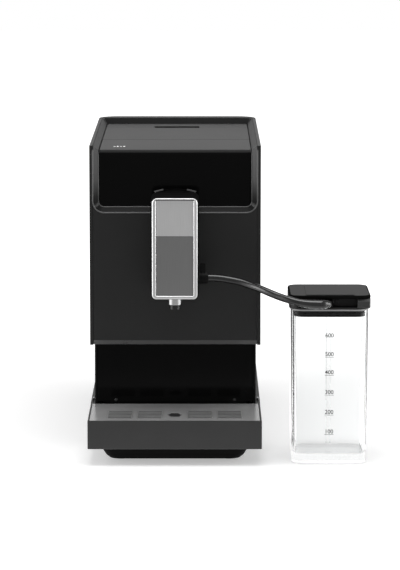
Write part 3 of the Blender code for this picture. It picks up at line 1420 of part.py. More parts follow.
def make_dispenser():
    outline = rounded(-DISPENSER_HALF, DISPENSER_HALF, DISPENSER_LOW, DISPENSER_HIGH, DISPENSER_CORNER)
    body = piece("dispenser_body", prism(fresh(), "Y", outline, DISPENSER_FRONT, DISPENSER_BACK), matte)
    half = CHANNEL_HALF - FIT
    back = CHANNEL_DEPTH - FIT
    low_corner = (-half, DISPENSER_BACK - OVERRUN, TONGUE_LOW)
    join(body, block(fresh(), low_corner, (half, back, TONGUE_HIGH)))
    back = DISPENSER_FRONT - FIT
    inner_half = FRAME_HALF - FRAME_SIDE

    def outer(draw_in):
        half = FRAME_HALF - draw_in
        return rounded(-half, half, FRAME_LOW + draw_in, FRAME_HIGH - draw_in, DISPENSER_CORNER - draw_in)

    def opening(draw_out):
        half = inner_half + draw_out
        low = FRAME_LOW + FRAME_FOOT - draw_out
        high = FRAME_HIGH - FRAME_HEAD + draw_out
        return rounded(-half, half, low, high, FRAME_LIP + draw_out)

    levels = [
        (outer(0), back),
        (outer(0), FRAME_FRONT + FRAME_BEVEL),
        (outer(FRAME_BEVEL / 2), FRAME_FRONT),
        (opening(FRAME_LIP / 2), FRAME_FRONT),
        (opening(0), FRAME_FRONT + FRAME_LIP),
        (opening(0), back),
    ]
    chrome = finish("satin_chrome", CHROME, 0.15, 1)
    piece("dispenser_frame", stack(fresh(), "Y", levels, closed=True), chrome)
    half = inner_half - FIT
    low = FRAME_LOW + FRAME_FOOT + FIT
    high = FRAME_HIGH - FRAME_HEAD - FIT
    seam = FIT / 2
    for name, start, end, material in (
        ("dispenser_lower_plate", low, PLATE_SEAM - seam, dark_steel),
        ("dispenser_upper_plate", PLATE_SEAM + seam, high, steel),
    ):
        piece(name, block(fresh(), (-half, PLATE_FRONT, start), (half, back, end)), material)
    top = DISPENSER_LOW - FIT
    ring = [(SPOUT_RADIUS, SPOUT_LOW), (SPOUT_RADIUS, top), (SPOUT_BORE, top), (SPOUT_BORE, SPOUT_LOW)]
    at = (0, SPOUT_Y, SPOUT_LOW)
    piece("spout_ring", turned(fresh(), "Z", 0, SPOUT_Y, ring, closed=True), chrome, at, smooth=True)
    radius = SPOUT_BORE - FIT
    solid = turned(fresh(), "Z", 0, SPOUT_Y, [(radius, NOZZLE_LOW), (radius, top)])
    nozzle = piece("twin_nozzle", solid, rubber, (0, SPOUT_Y, NOZZLE_LOW), smooth=True)
    for side in (-1, 1):
        span = [(NOZZLE_BORE, NOZZLE_LOW - OVERRUN), (NOZZLE_BORE, NOZZLE_LOW + NOZZLE_DEPTH)]
        cut(nozzle, turned(fresh(), "Z", side * NOZZLE_HALF_PITCH, SPOUT_Y, span, count=10))


def make_socket():
    start = DISPENSER_HALF + FIT
    pitch = (SOCKET_END - start) / (2 * SOCKET_COLLARS)
    profile = []
    for k in range(SOCKET_COLLARS):
        x = start + 2 * k * pitch
        profile += [(SOCKET_COLLAR, x), (SOCKET_COLLAR, x + pitch), (SOCKET_RADIUS, x + pitch)]
        profile.append((SOCKET_RADIUS, x + 2 * pitch))
    solid = turned(fresh(), "X", SOCKET_Y, SOCKET_Z, profile, count=16)
    socket = piece("hose_socket", solid, rubber, (start, SOCKET_Y, SOCKET_Z), smooth=True)
    low_corner = (FIN_START, SOCKET_Y - FIN_HALF, FIN_LOW)
    join(socket, block(fresh(), low_corner, (FIN_END, SOCKET_Y + FIN_HALF, FIN_HIGH)))


# The milk hose's route from the socket to the elbow, points chosen by hand
HOSE_ROUTE = (
    (0.0348, -0.0420, 0.1893),
    (0.0420, -0.0421, 0.1891),
    (0.0521, -0.0440, 0.1883),
    (0.0676, -0.0490, 0.1860),
    (0.0799, -0.0570, 0.1829),
    (0.0885, -0.0640, 0.1809),
    (0.0983, -0.0720, 0.1778),
    (0.1084, -0.0790, 0.1747),
    (0.1184, -0.0860, 0.1725),
    (0.1285, -0.0900, 0.1703),
    (0.1386, -0.0914, 0.1690),
    (0.1485, -0.0915, 0.1685),
)


# Milk jug with its lid
JUG_CORNER = 0.0140
JUG_WALL = 0.0030
JUG_EDGE = 0.0030
JUG_FLOOR = 0.0100
JUG_FLOOR_RISE = 0.0025
JUG_FLOOR_FILLET = 0.0100
JUG_FLOOR_EDGE = 0.0080
JUG_FLOOR_MIDDLE = 0.0180
LID_BASE_HEIGHT = 0.0104
LID_CORNER = 0.0110
LID_PLATE = 0.0017
CAP_HEIGHT = 0.0035
CAP_CHAMFER = 0.0010
NICHE_LEFT = 0.0330
NICHE_RIGHT = 0.0280
NICHE_DEPTH = 0.0120
PLUG_INSET = 0.0073
PLUG_DEPTH = 0.0093
SEAL_HEIGHT = 0.0085
SEAL_GROOVE = 0.0012
SEAL_RIBS = 3
SUCTION_RADIUS = 0.0030
SUCTION_BORE = 0.0020
SUCTION_LIFT = 0.0050
SUCTION_LOW = JUG_FLOOR + SUCTION_LIFT
LID_LOW = JUG_HEIGHT + FIT
LID_HIGH = LID_LOW + LID_BASE_HEIGHT
LID_FRONT = JUG_Y - LID_HALF
NICHE_WALL = LID_FRONT + NICHE_DEPTH
PORT_Z = LID_HIGH - LID_BASE_HEIGHT / 2 + LID_PLATE / 2
ELBOW_RADIUS = 0.0036
ELBOW_BEND = 0.0095
ELBOW_COLLAR = 0.0040


def jug_ring(draw_in, corner=JUG_CORNER):
    half = JUG_HALF - draw_in
    radius = max(corner - draw_in, JUG_EDGE)
    return rounded(JUG_X - half, JUG_X + half, JUG_Y - half, JUG_Y + half, radius)


def make_jug():
    levels = [
        (jug_ring(JUG_EDGE), 0),
        (jug_ring(0), JUG_EDGE),
        (jug_ring(0), JUG_HEIGHT),
        (jug_ring(JUG_WALL), JUG_HEIGHT),
        (jug_ring(JUG_WALL), JUG_FLOOR + JUG_FLOOR_FILLET),
        (jug_ring(JUG_FLOOR_EDGE), JUG_FLOOR + JUG_FLOOR_RISE),
        (jug_ring(JUG_FLOOR_MIDDLE), JUG_FLOOR),
    ]
    clear = finish("clear_jug_plastic", CLEAR, 0.04, 0, 0.95)
    piece("milk_jug", stack(fresh(), "Z", levels), clear, (JUG_X, JUG_Y, 0), smooth=True)


def make_jug_lid():
    outline = jug_ring(-LID_OVERHANG, LID_CORNER - LID_OVERHANG)
    at = (JUG_X, JUG_Y, LID_LOW)
    lid = piece("jug_lid", prism(fresh(), "Z", outline, LID_LOW, LID_HIGH), matte, at)
    plug = jug_ring(JUG_WALL + PLUG_INSET)
    join(lid, prism(fresh(), "Z", plug, LID_LOW - PLUG_DEPTH, LID_LOW + LID_PLATE / 2))
    cut(
        lid,
        block(
            fresh(),
            (JUG_X - NICHE_LEFT, LID_FRONT - OVERRUN, LID_LOW + LID_PLATE),
            (JUG_X + NICHE_RIGHT, NICHE_WALL, LID_HIGH + OVERRUN),
        ),
    )
    low = LID_HIGH + FIT
    high = low + CAP_HEIGHT
    slimmer = jug_ring(-LID_OVERHANG + CAP_CHAMFER, LID_CORNER - LID_OVERHANG)
    levels = [(outline, low), (outline, high - CAP_CHAMFER), (slimmer, high)]
    piece("lid_cap", stack(fresh(), "Z", levels), matte, (JUG_X, JUG_Y, low))
    top = LID_LOW - FIT
    foot = top - SEAL_HEIGHT
    pitch = SEAL_HEIGHT / (2 * SEAL_RIBS - 1)
    rim = jug_ring(JUG_WALL + FIT)
    groove = jug_ring(JUG_WALL + FIT + SEAL_GROOVE)
    levels = []
    for k in range(2 * SEAL_RIBS - 1):
        ring = groove if k % 2 else rim
        levels += [(ring, foot + k * pitch), (ring, foot + (k + 1) * pitch)]
    lining = jug_ring(JUG_WALL + PLUG_INSET - FIT)
    levels += [(lining, top), (lining, foot)]
    piece("lid_seal", stack(fresh(), "Z", levels, closed=True), rubber, (JUG_X, JUG_Y, foot))
    high = LID_LOW - PLUG_DEPTH - FIT
    pipe = [
        (SUCTION_RADIUS, SUCTION_LOW),
        (SUCTION_RADIUS, high),
        (SUCTION_BORE, high),
        (SUCTION_BORE, SUCTION_LOW),
    ]
    solid = turned(fresh(), "Z", JUG_X, JUG_Y, pipe, closed=True, count=12)
    piece("suction_tube", solid, rubber, (JUG_X, JUG_Y, high), smooth=True)


def make_elbow():
    """A bent connector from the hose's end, round to the port in the lid's niche."""
    rings = []

    def ring(x, y, heading, radius):
        side = Vector((-sin(heading), cos(heading), 0))
        up = Vector((0, 0, 1))
        return [
            Vector((x, y, PORT_Z)) + side * radius * cos(a) + up * radius * sin(a)
            for a in [2 * pi * k / ELBOW_SIDES for k in range(ELBOW_SIDES)]
        ]

    end = NICHE_WALL - FIT
    turn_y = HOSE_ROUTE[-1][1] + ELBOW_BEND
    start = HOSE_ROUTE[-1][0] + FIT
    bend_x = JUG_X - ELBOW_BEND
    rings.append(ring(start, HOSE_ROUTE[-1][1], 0, ELBOW_RADIUS))
    for k in range(ELBOW_STEPS + 1):
        heading = k * pi / 2 / ELBOW_STEPS
        x = bend_x + ELBOW_BEND * sin(heading)
        rings.append(ring(x, turn_y - ELBOW_BEND * cos(heading), heading, ELBOW_RADIUS))
    collar = (end - turn_y) / 3
    rings.append(ring(JUG_X, turn_y + collar, pi / 2, ELBOW_RADIUS))
    rings.append(ring(JUG_X, turn_y + collar, pi / 2, ELBOW_COLLAR))
    rings.append(ring(JUG_X, turn_y + 2 * collar, pi / 2, ELBOW_COLLAR))
    rings.append(ring(JUG_X, turn_y + 2 * collar, pi / 2, ELBOW_RADIUS))
    rings.append(ring(JUG_X, end, pi / 2, ELBOW_RADIUS))
    piece("hose_elbow", loft(fresh(), rings), rubber, (JUG_X, end, PORT_Z), smooth=True)


# Drip tray, grid, float and grounds container
TRAY_LOW = BASE_BOTTOM + FIT
TRAY_WALL = 0.0035
TRAY_FLOOR = 0.0030
TONGUE_WALL = 0.0025
TONGUE_CLEAR = 0.0017
TRAY_HALF = BAY_HALF - TONGUE_CLEAR
GRID_THICK = 0.0020
GRID_RIM = 0.0017
GRID_REAR = 0.0060
WINDOW_HALF = 0.0120
WINDOW_GAP = 0.0140
WINDOW_PITCH = 0.0310
WINDOW_INSET = 0.0157
WINDOW_INNER = WINDOW_HALF + WINDOW_GAP
WINDOW_OUTER = WINDOW_INNER + WINDOW_PITCH
WINDOW_FRONT = -TRAY_REACH + WINDOW_INSET
SLOT_LENGTH = 0.0036
SLOT_PITCH = 0.0080
SLOT_COUNT = 5
FLOAT_INSET = 0.0343
FLOAT_Y = -TRAY_REACH + FLOAT_INSET
FLOAT_HALF = 0.0068
FLOAT_REACH = 0.0105
FLOAT_GAP = 0.0008
FLOAT_DROP = 0.0005
FLOAT_TOP = BASE_TOP - FLOAT_DROP
FLOAT_BODY_HALF = 0.0120
FLOAT_BODY_REACH = 0.0150
FLOAT_BODY_HEIGHT = 0.0090
BOX_WALL = 0.0020
BOX_DROP = 0.0032
BOX_TOP = HOOD_BOTTOM - BOX_DROP
BOX_CORNER = 0.0060
FACE_LIFT = 0.0025
FACE_LOW = BASE_TOP + FACE_LIFT
FACE_THICK = 0.0025
NUB_INSET = 0.01575
NUB_X = INNER_HALF - NUB_INSET
NUB_HALF = 0.0015
NUB_DROP = 0.0018


def hexagon(half, reach):
    """A stretched hexagon, pointed towards the sides."""
    return [
        (-half, FLOAT_Y),
        (-half / 2, FLOAT_Y - reach),
        (half / 2, FLOAT_Y - reach),
        (half, FLOAT_Y),
        (half / 2, FLOAT_Y + reach),
        (-half / 2, FLOAT_Y + reach),
    ]


def make_tray():
    front = -TRAY_REACH
    rear = BASE_FRONT - FIT
    solid = block(fresh(), (-HALF_WIDTH, front, TRAY_LOW), (HALF_WIDTH, rear, BASE_TOP))
    tray = piece("drip_tray", solid, tray_finish, (0, front, TRAY_LOW))
    floor = BAY_FLOOR + FIT
    low_corner = (-TRAY_HALF, rear - OVERRUN, floor)
    join(tray, block(fresh(), low_corner, (TRAY_HALF, TRAY_REAR, BASE_TOP)))
    half = HALF_WIDTH - TRAY_WALL
    high = BASE_TOP + OVERRUN
    low_corner = (-half, front + TRAY_WALL, TRAY_LOW + TRAY_FLOOR)
    cut(tray, block(fresh(), low_corner, (half, rear - TRAY_WALL, high)))
    half = TRAY_HALF - TONGUE_WALL
    low_corner = (-half, -TRAY_WALL, floor + TONGUE_WALL)
    cut(tray, block(fresh(), low_corner, (half, TRAY_REAR - TONGUE_WALL, high)))
    half = HALF_WIDTH - GRID_RIM
    low_corner = (-half, front + GRID_RIM, BASE_TOP - GRID_THICK - FIT)
    cut(tray, block(fresh(), low_corner, (half, GRID_REAR + FIT, high)))


def make_grid():
    half = HALF_WIDTH - GRID_RIM - FIT
    front = -TRAY_REACH + GRID_RIM + FIT
    low = BASE_TOP - GRID_THICK
    solid = block(fresh(), (-half, front, low), (half, GRID_REAR, BASE_TOP))
    grid = piece("drip_grid", solid, panel, (0, front, low))
    slots = fresh()
    for x in (-WINDOW_OUTER, -WINDOW_INNER, WINDOW_INNER, WINDOW_OUTER):
        for k in range(SLOT_COUNT):
            y = WINDOW_FRONT + k * SLOT_PITCH
            low_corner = (x - WINDOW_HALF, y, low - OVERRUN)
            block(slots, low_corner, (x + WINDOW_HALF, y + SLOT_LENGTH, BASE_TOP + OVERRUN))
    cut(grid, slots)
    opening = hexagon(FLOAT_HALF + FLOAT_GAP, FLOAT_REACH + FLOAT_GAP)
    cut(grid, prism(fresh(), "Z", opening, low - OVERRUN, BASE_TOP + OVERRUN))


def make_float():
    low = TRAY_LOW + TRAY_FLOOR + FIT
    solid = prism(fresh(), "Z", hexagon(FLOAT_HALF, FLOAT_REACH), low, FLOAT_TOP)
    made = piece("tray_float", solid, inner, (0, FLOAT_Y, low))
    low_corner = (-FLOAT_BODY_HALF, FLOAT_Y - FLOAT_BODY_REACH, low)
    high_corner = (FLOAT_BODY_HALF, FLOAT_Y + FLOAT_BODY_REACH, low + FLOAT_BODY_HEIGHT)
    join(made, block(fresh(), low_corner, high_corner))


def make_container():
    half = TRAY_HALF - TONGUE_WALL - FIT
    front = COLUMN_FRONT + FACE_THICK
    rear = TRAY_REAR - TONGUE_WALL - OVERRUN
    floor = BAY_FLOOR + 2 * FIT + TONGUE_WALL

    def ring(draw_in):
        wide = half - draw_in
        return rounded(-wide, wide, front + draw_in, rear - draw_in, BOX_CORNER - draw_in)

    levels = [
        (ring(0), floor),
        (ring(0), BOX_TOP),
        (ring(BOX_WALL), BOX_TOP),
        (ring(BOX_WALL), floor + BOX_WALL),
    ]
    gloss = finish("gloss_panel", GLOSS_BLACK, 0.15)
    box = piece("grounds_container", stack(fresh(), "Z", levels), gloss, (0, front, floor))
    wide = INNER_HALF - FIT
    low_corner = (-wide, COLUMN_FRONT, FACE_LOW)
    join(box, block(fresh(), low_corner, (wide, front + BASE_LAP, HOOD_BOTTOM - FIT)))
    for side in (-1, 1):
        x = side * NUB_X
        low_corner = (x - NUB_HALF, COLUMN_FRONT, FACE_LOW - NUB_DROP)
        join(box, block(fresh(), low_corner, (x + NUB_HALF, front, FACE_LOW + BASE_LAP)))


def make_machine():
    make_base()
    make_feet()
    make_gland()
    make_chassis()
    make_hood()
    make_fascia()
    make_side_panels()
    make_door()
    make_rear_cover()
    make_hopper()
    make_knob()
    make_bean_lid()
    make_grinder()
    make_ring_burr()
    make_cone_burr()
    make_gears()
    make_grinder_motor()
    make_brew_frame()
    make_brew_parts()
    make_chute()
    make_valve_seat()
    make_tank()
    make_tank_lid()
    make_pump()
    make_heater()
    make_tubes()
    make_boards()
    make_dispenser()
    make_socket()
    hose("milk_hose", HOSE_ROUTE, HOSE_RADIUS, rubber, 2)
    make_jug()
    make_jug_lid()
    make_elbow()
    make_tray()
    make_grid()
    make_float()
    make_container()


make_machine()
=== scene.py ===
# %% [markdown]
# # A slim coffee machine with a milk jug
# The solids of the machine come packed from the CAD model, already in their places, in metres.
# This script gives them rounded edges, real finishes and the small parts that a CAD model leaves
# out.

# %% Load the solids
import json
import math

import bmesh
import bpy
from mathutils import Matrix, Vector

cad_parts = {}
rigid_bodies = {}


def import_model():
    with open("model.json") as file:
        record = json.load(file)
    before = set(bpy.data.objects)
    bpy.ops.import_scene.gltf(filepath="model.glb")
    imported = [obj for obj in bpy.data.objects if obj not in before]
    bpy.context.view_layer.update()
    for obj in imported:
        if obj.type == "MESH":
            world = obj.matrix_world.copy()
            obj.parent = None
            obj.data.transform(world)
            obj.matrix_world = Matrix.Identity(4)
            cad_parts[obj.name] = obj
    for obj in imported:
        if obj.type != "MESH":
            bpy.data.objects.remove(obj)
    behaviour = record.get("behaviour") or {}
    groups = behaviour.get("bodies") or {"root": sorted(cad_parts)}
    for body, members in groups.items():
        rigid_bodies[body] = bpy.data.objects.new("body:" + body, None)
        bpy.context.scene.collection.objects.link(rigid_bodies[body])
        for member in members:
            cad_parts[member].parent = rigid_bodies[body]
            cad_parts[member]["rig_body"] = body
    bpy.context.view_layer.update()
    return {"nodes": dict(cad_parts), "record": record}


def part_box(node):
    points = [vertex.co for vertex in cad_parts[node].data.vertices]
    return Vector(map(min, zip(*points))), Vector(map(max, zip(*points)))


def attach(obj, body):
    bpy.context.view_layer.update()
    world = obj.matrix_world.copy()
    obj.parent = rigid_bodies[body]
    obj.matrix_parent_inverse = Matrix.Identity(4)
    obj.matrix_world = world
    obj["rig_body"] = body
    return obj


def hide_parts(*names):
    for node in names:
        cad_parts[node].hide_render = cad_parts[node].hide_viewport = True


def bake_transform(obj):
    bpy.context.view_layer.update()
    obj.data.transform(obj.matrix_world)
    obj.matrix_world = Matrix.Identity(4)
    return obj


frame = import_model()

nodes = frame["nodes"]
MIDDLE = sum(corner.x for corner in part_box("hood_shell")) / 2
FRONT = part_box("hood_shell")[0].y
print("middle of the machine", round(MIDDLE, 4), "front of the hood", round(FRONT, 4))


def at(x, y, z):
    """A place measured from the middle of the machine, the front of its hood and the worktop."""
    return Vector((MIDDLE + x, FRONT + y, z))


ORIGIN = at(0, 0, 0)

# %% [markdown]
# ## The camera
# The view is from the front and a little above. A long lens far away keeps upright edges upright.
# The sensor is fitted to the picture's height, so that the picture's shape doesn't matter.

# %% Camera
LENS, SENSOR = 193.2, 36.0
CAMERA_PLACE = (-0.0299, -3.31635, 0.6403)
CAMERA_TILT = math.radians(81.71)
bpy.ops.object.camera_add(location=CAMERA_PLACE, rotation=(CAMERA_TILT, 0, 0))
camera = bpy.context.object
camera.name = "camera"
camera.data.sensor_fit = "VERTICAL"
camera.data.sensor_height = SENSOR
camera.data.lens = LENS
camera.data.dof.use_dof = False
bpy.context.scene.camera = camera
bpy.context.scene.view_settings.view_transform = "Standard"
print("camera set at", CAMERA_PLACE)

# %% [markdown]
# ## Handling pieces
# Blender's operators act on whatever is selected, so each helper first selects just its own piece.
# A finished piece keeps its object at the origin and has its place in its mesh, as the solids do.

# %% Helpers that select, settle and finish
SMOOTH_ANGLE, WIDE_ANGLE = math.radians(32), math.radians(60)
STRAIGHT = 0.9  # from here on a direction counts as straight along an axis


def only(*pieces):
    """Selects these pieces and nothing else."""
    if bpy.context.object and bpy.context.object.mode != "OBJECT":
        bpy.ops.object.mode_set(mode="OBJECT")
    bpy.ops.object.select_all(action="DESELECT")
    for piece in pieces:
        piece.select_set(True)
        bpy.context.view_layer.objects.active = piece


def settle(name):
    """Names the piece that was made last and puts its place, turn and size into its mesh."""
    piece = bpy.context.object
    piece.name = piece.data.name = name
    only(piece)
    bpy.ops.object.transform_apply(location=True, rotation=True, scale=True)
    return piece


def shape(piece, kind, **settings):
    """Adds one modifier and applies it."""
    only(piece)
    modifier = piece.modifiers.new(kind.lower(), kind)
    for setting, value in settings.items():
        setattr(modifier, setting, value)
    bpy.ops.object.modifier_apply(modifier=modifier.name)
    return piece


def smooth(piece):
    only(piece)
    bpy.ops.object.shade_smooth_by_angle(angle=SMOOTH_ANGLE)
    return piece


def round_edges(piece, width, segments=2, angle=SMOOTH_ANGLE):
    """Rounds the edges that are sharper than the angle."""
    shape(piece, "BEVEL", width=width, segments=segments, limit_method="ANGLE", angle_limit=angle)
    smooth(piece)
    return shape(piece, "WEIGHTED_NORMAL", keep_sharp=True)


def pick(piece, what, test):
    """Goes into edit mode and selects the faces or edges that pass a test.

    The test gets the middle of each, and the way that a face looks or an edge runs."""
    only(piece)
    bpy.ops.object.mode_set(mode="EDIT")
    bpy.ops.mesh.select_mode(type=what)
    bpy.ops.mesh.select_all(action="DESELECT")
    mesh = bmesh.from_edit_mesh(piece.data)
    for part in mesh.faces if what == "FACE" else mesh.edges:
        if what == "FACE":
            chosen = test(part.calc_center_median(), part.normal)
        else:
            ends = [corner.co for corner in part.verts]
            chosen = test((ends[0] + ends[1]) / 2, (ends[1] - ends[0]).normalized())
        part.select_set(bool(chosen))
    bmesh.update_edit_mesh(piece.data)


def done():
    """Leaves edit mode."""
    bpy.ops.object.mode_set(mode="OBJECT")


def along_z(middle, way):
    """A test for pick: upright edges, or faces that look up or down."""
    return abs(way.z) > STRAIGHT


def bevel_some(piece, test, width, segments):
    """Bevels only the edges that pass the test."""
    pick(piece, "EDGE", test)
    bpy.ops.mesh.bevel(offset=width, segments=segments, affect="EDGES")
    done()


def pierce(piece, wall):
    """Makes a ring of a flat piece: insets its top and bottom, and bridges the two."""
    pick(piece, "FACE", along_z)
    bpy.ops.mesh.inset(thickness=wall)
    bpy.ops.mesh.bridge_edge_loops()
    done()


# %% [markdown]
# ## The milk hose
# A soft black hose runs from the socket on the dispenser to the elbow in the jug's lid.
# Both ends move: the dispenser slides and the lid lifts off. One piece can bend only between two
# neighbouring bodies, so the hose is made as two halves that meet where it hangs free.
# Its line is a smooth curve through the points of the CAD model's route.

# %% The hose's line
HOSE_RADIUS = 0.0038
HOSE_ROUTE = [
    (0.0348, -0.0420, 0.1893), (0.0420, -0.0421, 0.1891), (0.0521, -0.0440, 0.1883),
    (0.0676, -0.0490, 0.1860), (0.0799, -0.0570, 0.1829), (0.0885, -0.0640, 0.1809),
    (0.0983, -0.0720, 0.1778), (0.1084, -0.0790, 0.1747), (0.1184, -0.0860, 0.1725),
    (0.1285, -0.0900, 0.1703), (0.1386, -0.0914, 0.1690), (0.1485, -0.0915, 0.1685),
]
HOSE_STEPS = 3


def eased(points, steps):
    """A smooth line through the points: each stretch takes its slope from its neighbours."""
    line = []
    for index in range(len(points) - 1):
        before = points[max(index - 1, 0)]
        start, end = points[index], points[index + 1]
        after = points[min(index + 2, len(points) - 1)]
        for step in range(steps):
            t = step / steps
            line.append(0.5 * (2 * start + (end - before) * t
                               + (2 * before - 5 * start + 4 * end - after) * t ** 2
                               + (3 * start - before - 3 * end + after) * t ** 3))
    return line + [points[-1]]


def path_length(line):
    return sum((b - a).length for a, b in zip(line, line[1:]))


hose_line = eased([at(*point) for point in HOSE_ROUTE], HOSE_STEPS)
half_way = len(hose_line) // 2
print("hose", round(path_length(hose_line), 4), "m in", len(hose_line), "points")


# %% [markdown]
# A tube along a line is a curve with a round bevel. It is turned into a mesh here.

# %% The hose's two halves
def tube(name, line, radius, sides=6, radii=None):
    """A round tube along a line. Radii, if given, are each point's share of the radius."""
    curve = bpy.data.curves.new(name, "CURVE")
    curve.dimensions = "3D"
    spline = curve.splines.new("POLY")
    spline.points.add(len(line) - 1)
    for point, place, share in zip(spline.points, line, radii or [1] * len(line)):
        point.co, point.radius = (*place, 1), share
    curve.bevel_depth = radius
    curve.bevel_resolution = sides
    curve.use_fill_caps = True
    piece = bpy.data.objects.new(name, curve)
    bpy.context.scene.collection.objects.link(piece)
    only(piece)
    bpy.ops.object.convert(target="MESH")
    return smooth(settle(name))


hose_halves = []
for name, line, bodies in (
    ("milk_hose_at_dispenser", hose_line[:half_way + 1], ("dispenser", "root")),
    ("milk_hose_at_jug", hose_line[half_way:], ("root", "milk_lid")),
):
    half = tube(name, line, HOSE_RADIUS)
    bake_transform(half)
    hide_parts("milk_hose")
    hose_halves.append(half)
    print(name, "is", round(path_length(line), 4), "m long")

# %% [markdown]
# ## Shader maths as expressions
# A material is a graph of nodes. Building it node by node hides the idea, so small classes let
# it be written as sums: `0.4 + 0.1 * grain`. Each sum adds a Math node behind the scenes.

# %% Signals
class Signal:
    """One output in a graph, which can be added to, multiplied and so on like a number."""

    def __init__(self, graph, socket):
        self.graph, self.socket = graph, socket

    __add__ = __radd__ = lambda self, other: self.graph.maths("ADD", self, other)
    __mul__ = __rmul__ = lambda self, other: self.graph.maths("MULTIPLY", self, other)
    __sub__ = lambda self, other: self.graph.maths("SUBTRACT", self, other)
    __rsub__ = lambda self, other: self.graph.maths("SUBTRACT", other, self)
    __truediv__ = lambda self, other: self.graph.maths("DIVIDE", self, other)
    __gt__ = lambda self, other: self.graph.maths("GREATER_THAN", self, other)
    __lt__ = lambda self, other: self.graph.maths("LESS_THAN", self, other)

    def held(self):
        """The same signal, kept between 0 and 1."""
        return self.graph.maths("ADD", self, 0.0, clamp=True)


# %% [markdown]
# A graph makes any node in one line: its kind, its settings, and what its sockets get. The world
# has such a graph, and so has every material, which adds a few tools for surfaces.

# %% Graphs and finishes
class Graph:
    """A tree of nodes, each written in one line."""

    def __init__(self, tree):
        self.tree = tree

    def node(self, kind, settings=None, inputs=None, output=0):
        made = self.tree.nodes.new("ShaderNode" + kind)
        for setting, value in (settings or {}).items():
            setattr(made, setting, value)
        for socket, value in (inputs or {}).items():
            self.feed(made.inputs[socket], value)
        return Signal(self, made.outputs[output])

    def maths(self, operation, *terms, clamp=False):
        settings = {"operation": operation, "use_clamp": clamp}
        return self.node("Math", settings, dict(enumerate(terms)))

    def ease(self, value, start, end):
        """0 before start, 1 after end, and a smooth step between them."""
        return self.node("MapRange", {"interpolation_type": "SMOOTHSTEP"},
                         {"Value": value, "From Min": start, "From Max": end})

    def feed(self, socket, value):
        if isinstance(value, Signal):
            self.tree.links.new(value.socket, socket)
        else:
            socket.default_value = value


class Finish(Graph):
    """A material, with the inputs of its surface."""

    def __init__(self, name):
        self.material = bpy.data.materials.new(name)
        self.material.use_nodes = True
        super().__init__(self.material.node_tree)
        self.surface = self.tree.nodes["Principled BSDF"]

    def set(self, **values):
        for name, value in values.items():
            self.feed(self.surface.inputs[name.replace("_", " ")], value)

    def place(self, stretch=(1, 1, 1)):
        """Where a point is on the object, in metres, stretched along the grain if asked."""
        where = self.node("TexCoord", output="Object")
        return self.node("Mapping", inputs={"Vector": where, "Scale": stretch})

    def noise(self, size, detail=2.0, stretch=(1, 1, 1)):
        """Soft random spots of about this size in metres, from 0 to 1."""
        return self.node("TexNoise", inputs={"Vector": self.place(stretch), "Scale": 1 / size,
                                             "Detail": detail})

    def mix(self, low, high, amount):
        """A colour between two colours."""
        return self.node("Mix", {"data_type": "RGBA"},
                         {0: amount, 6: (*low, 1), 7: (*high, 1)}, output=2)

    def bump(self, height, depth):
        """Tilts the surface as if its height in metres went up and down by depth."""
        self.set(Normal=self.node("Bump", inputs={"Distance": depth, "Height": height}))


def shade(colour, factor):
    """A colour, or a grey given as one number, made lighter or darker."""
    parts = colour if isinstance(colour, tuple) else (colour,) * 3
    return tuple(min(part * factor, 1) for part in parts)


# %% [markdown]
# ## Moulded plastics
# Most of the case is injection-moulded plastic. A matt part comes from a mould with a fine spark
# grain, so it has a tiny even bump and a soft shine. A gloss part comes from a polished mould: its
# bump is almost nothing, and only faint hazy patches from handling change its shine.

# %% Moulded finishes
def moulded(name, colour, roughness, grain=0.0006, depth=2e-5, haze=0.05, level=0.5,
            spread=0.25):
    """A moulded plastic: grain size and depth in metres, haze as the change of its roughness."""
    finish = Finish(name)
    fine, patches = finish.noise(grain, detail=3.0), finish.noise(size=0.035, detail=3.0)
    dark, light = shade(colour, 1 - spread), shade(colour, 1 + spread)
    finish.set(Base_Color=finish.mix(dark, light, 0.6 * patches + 0.4 * fine),
               Roughness=roughness + haze * (patches - 0.5) + 0.5 * haze * (fine - 0.5),
               Specular_IOR_Level=level)
    finish.bump(fine, depth)
    return finish


# Grain size, depth and haze of three moulds. The ink's also gives its level and its spread.
SATIN, SLEEK, PRINTED = (0.0006, 8e-6, 0.04), (0.0008, 6e-6, 0.04), (0.0005, 1e-5, 0.05, 0.5, 0.05)
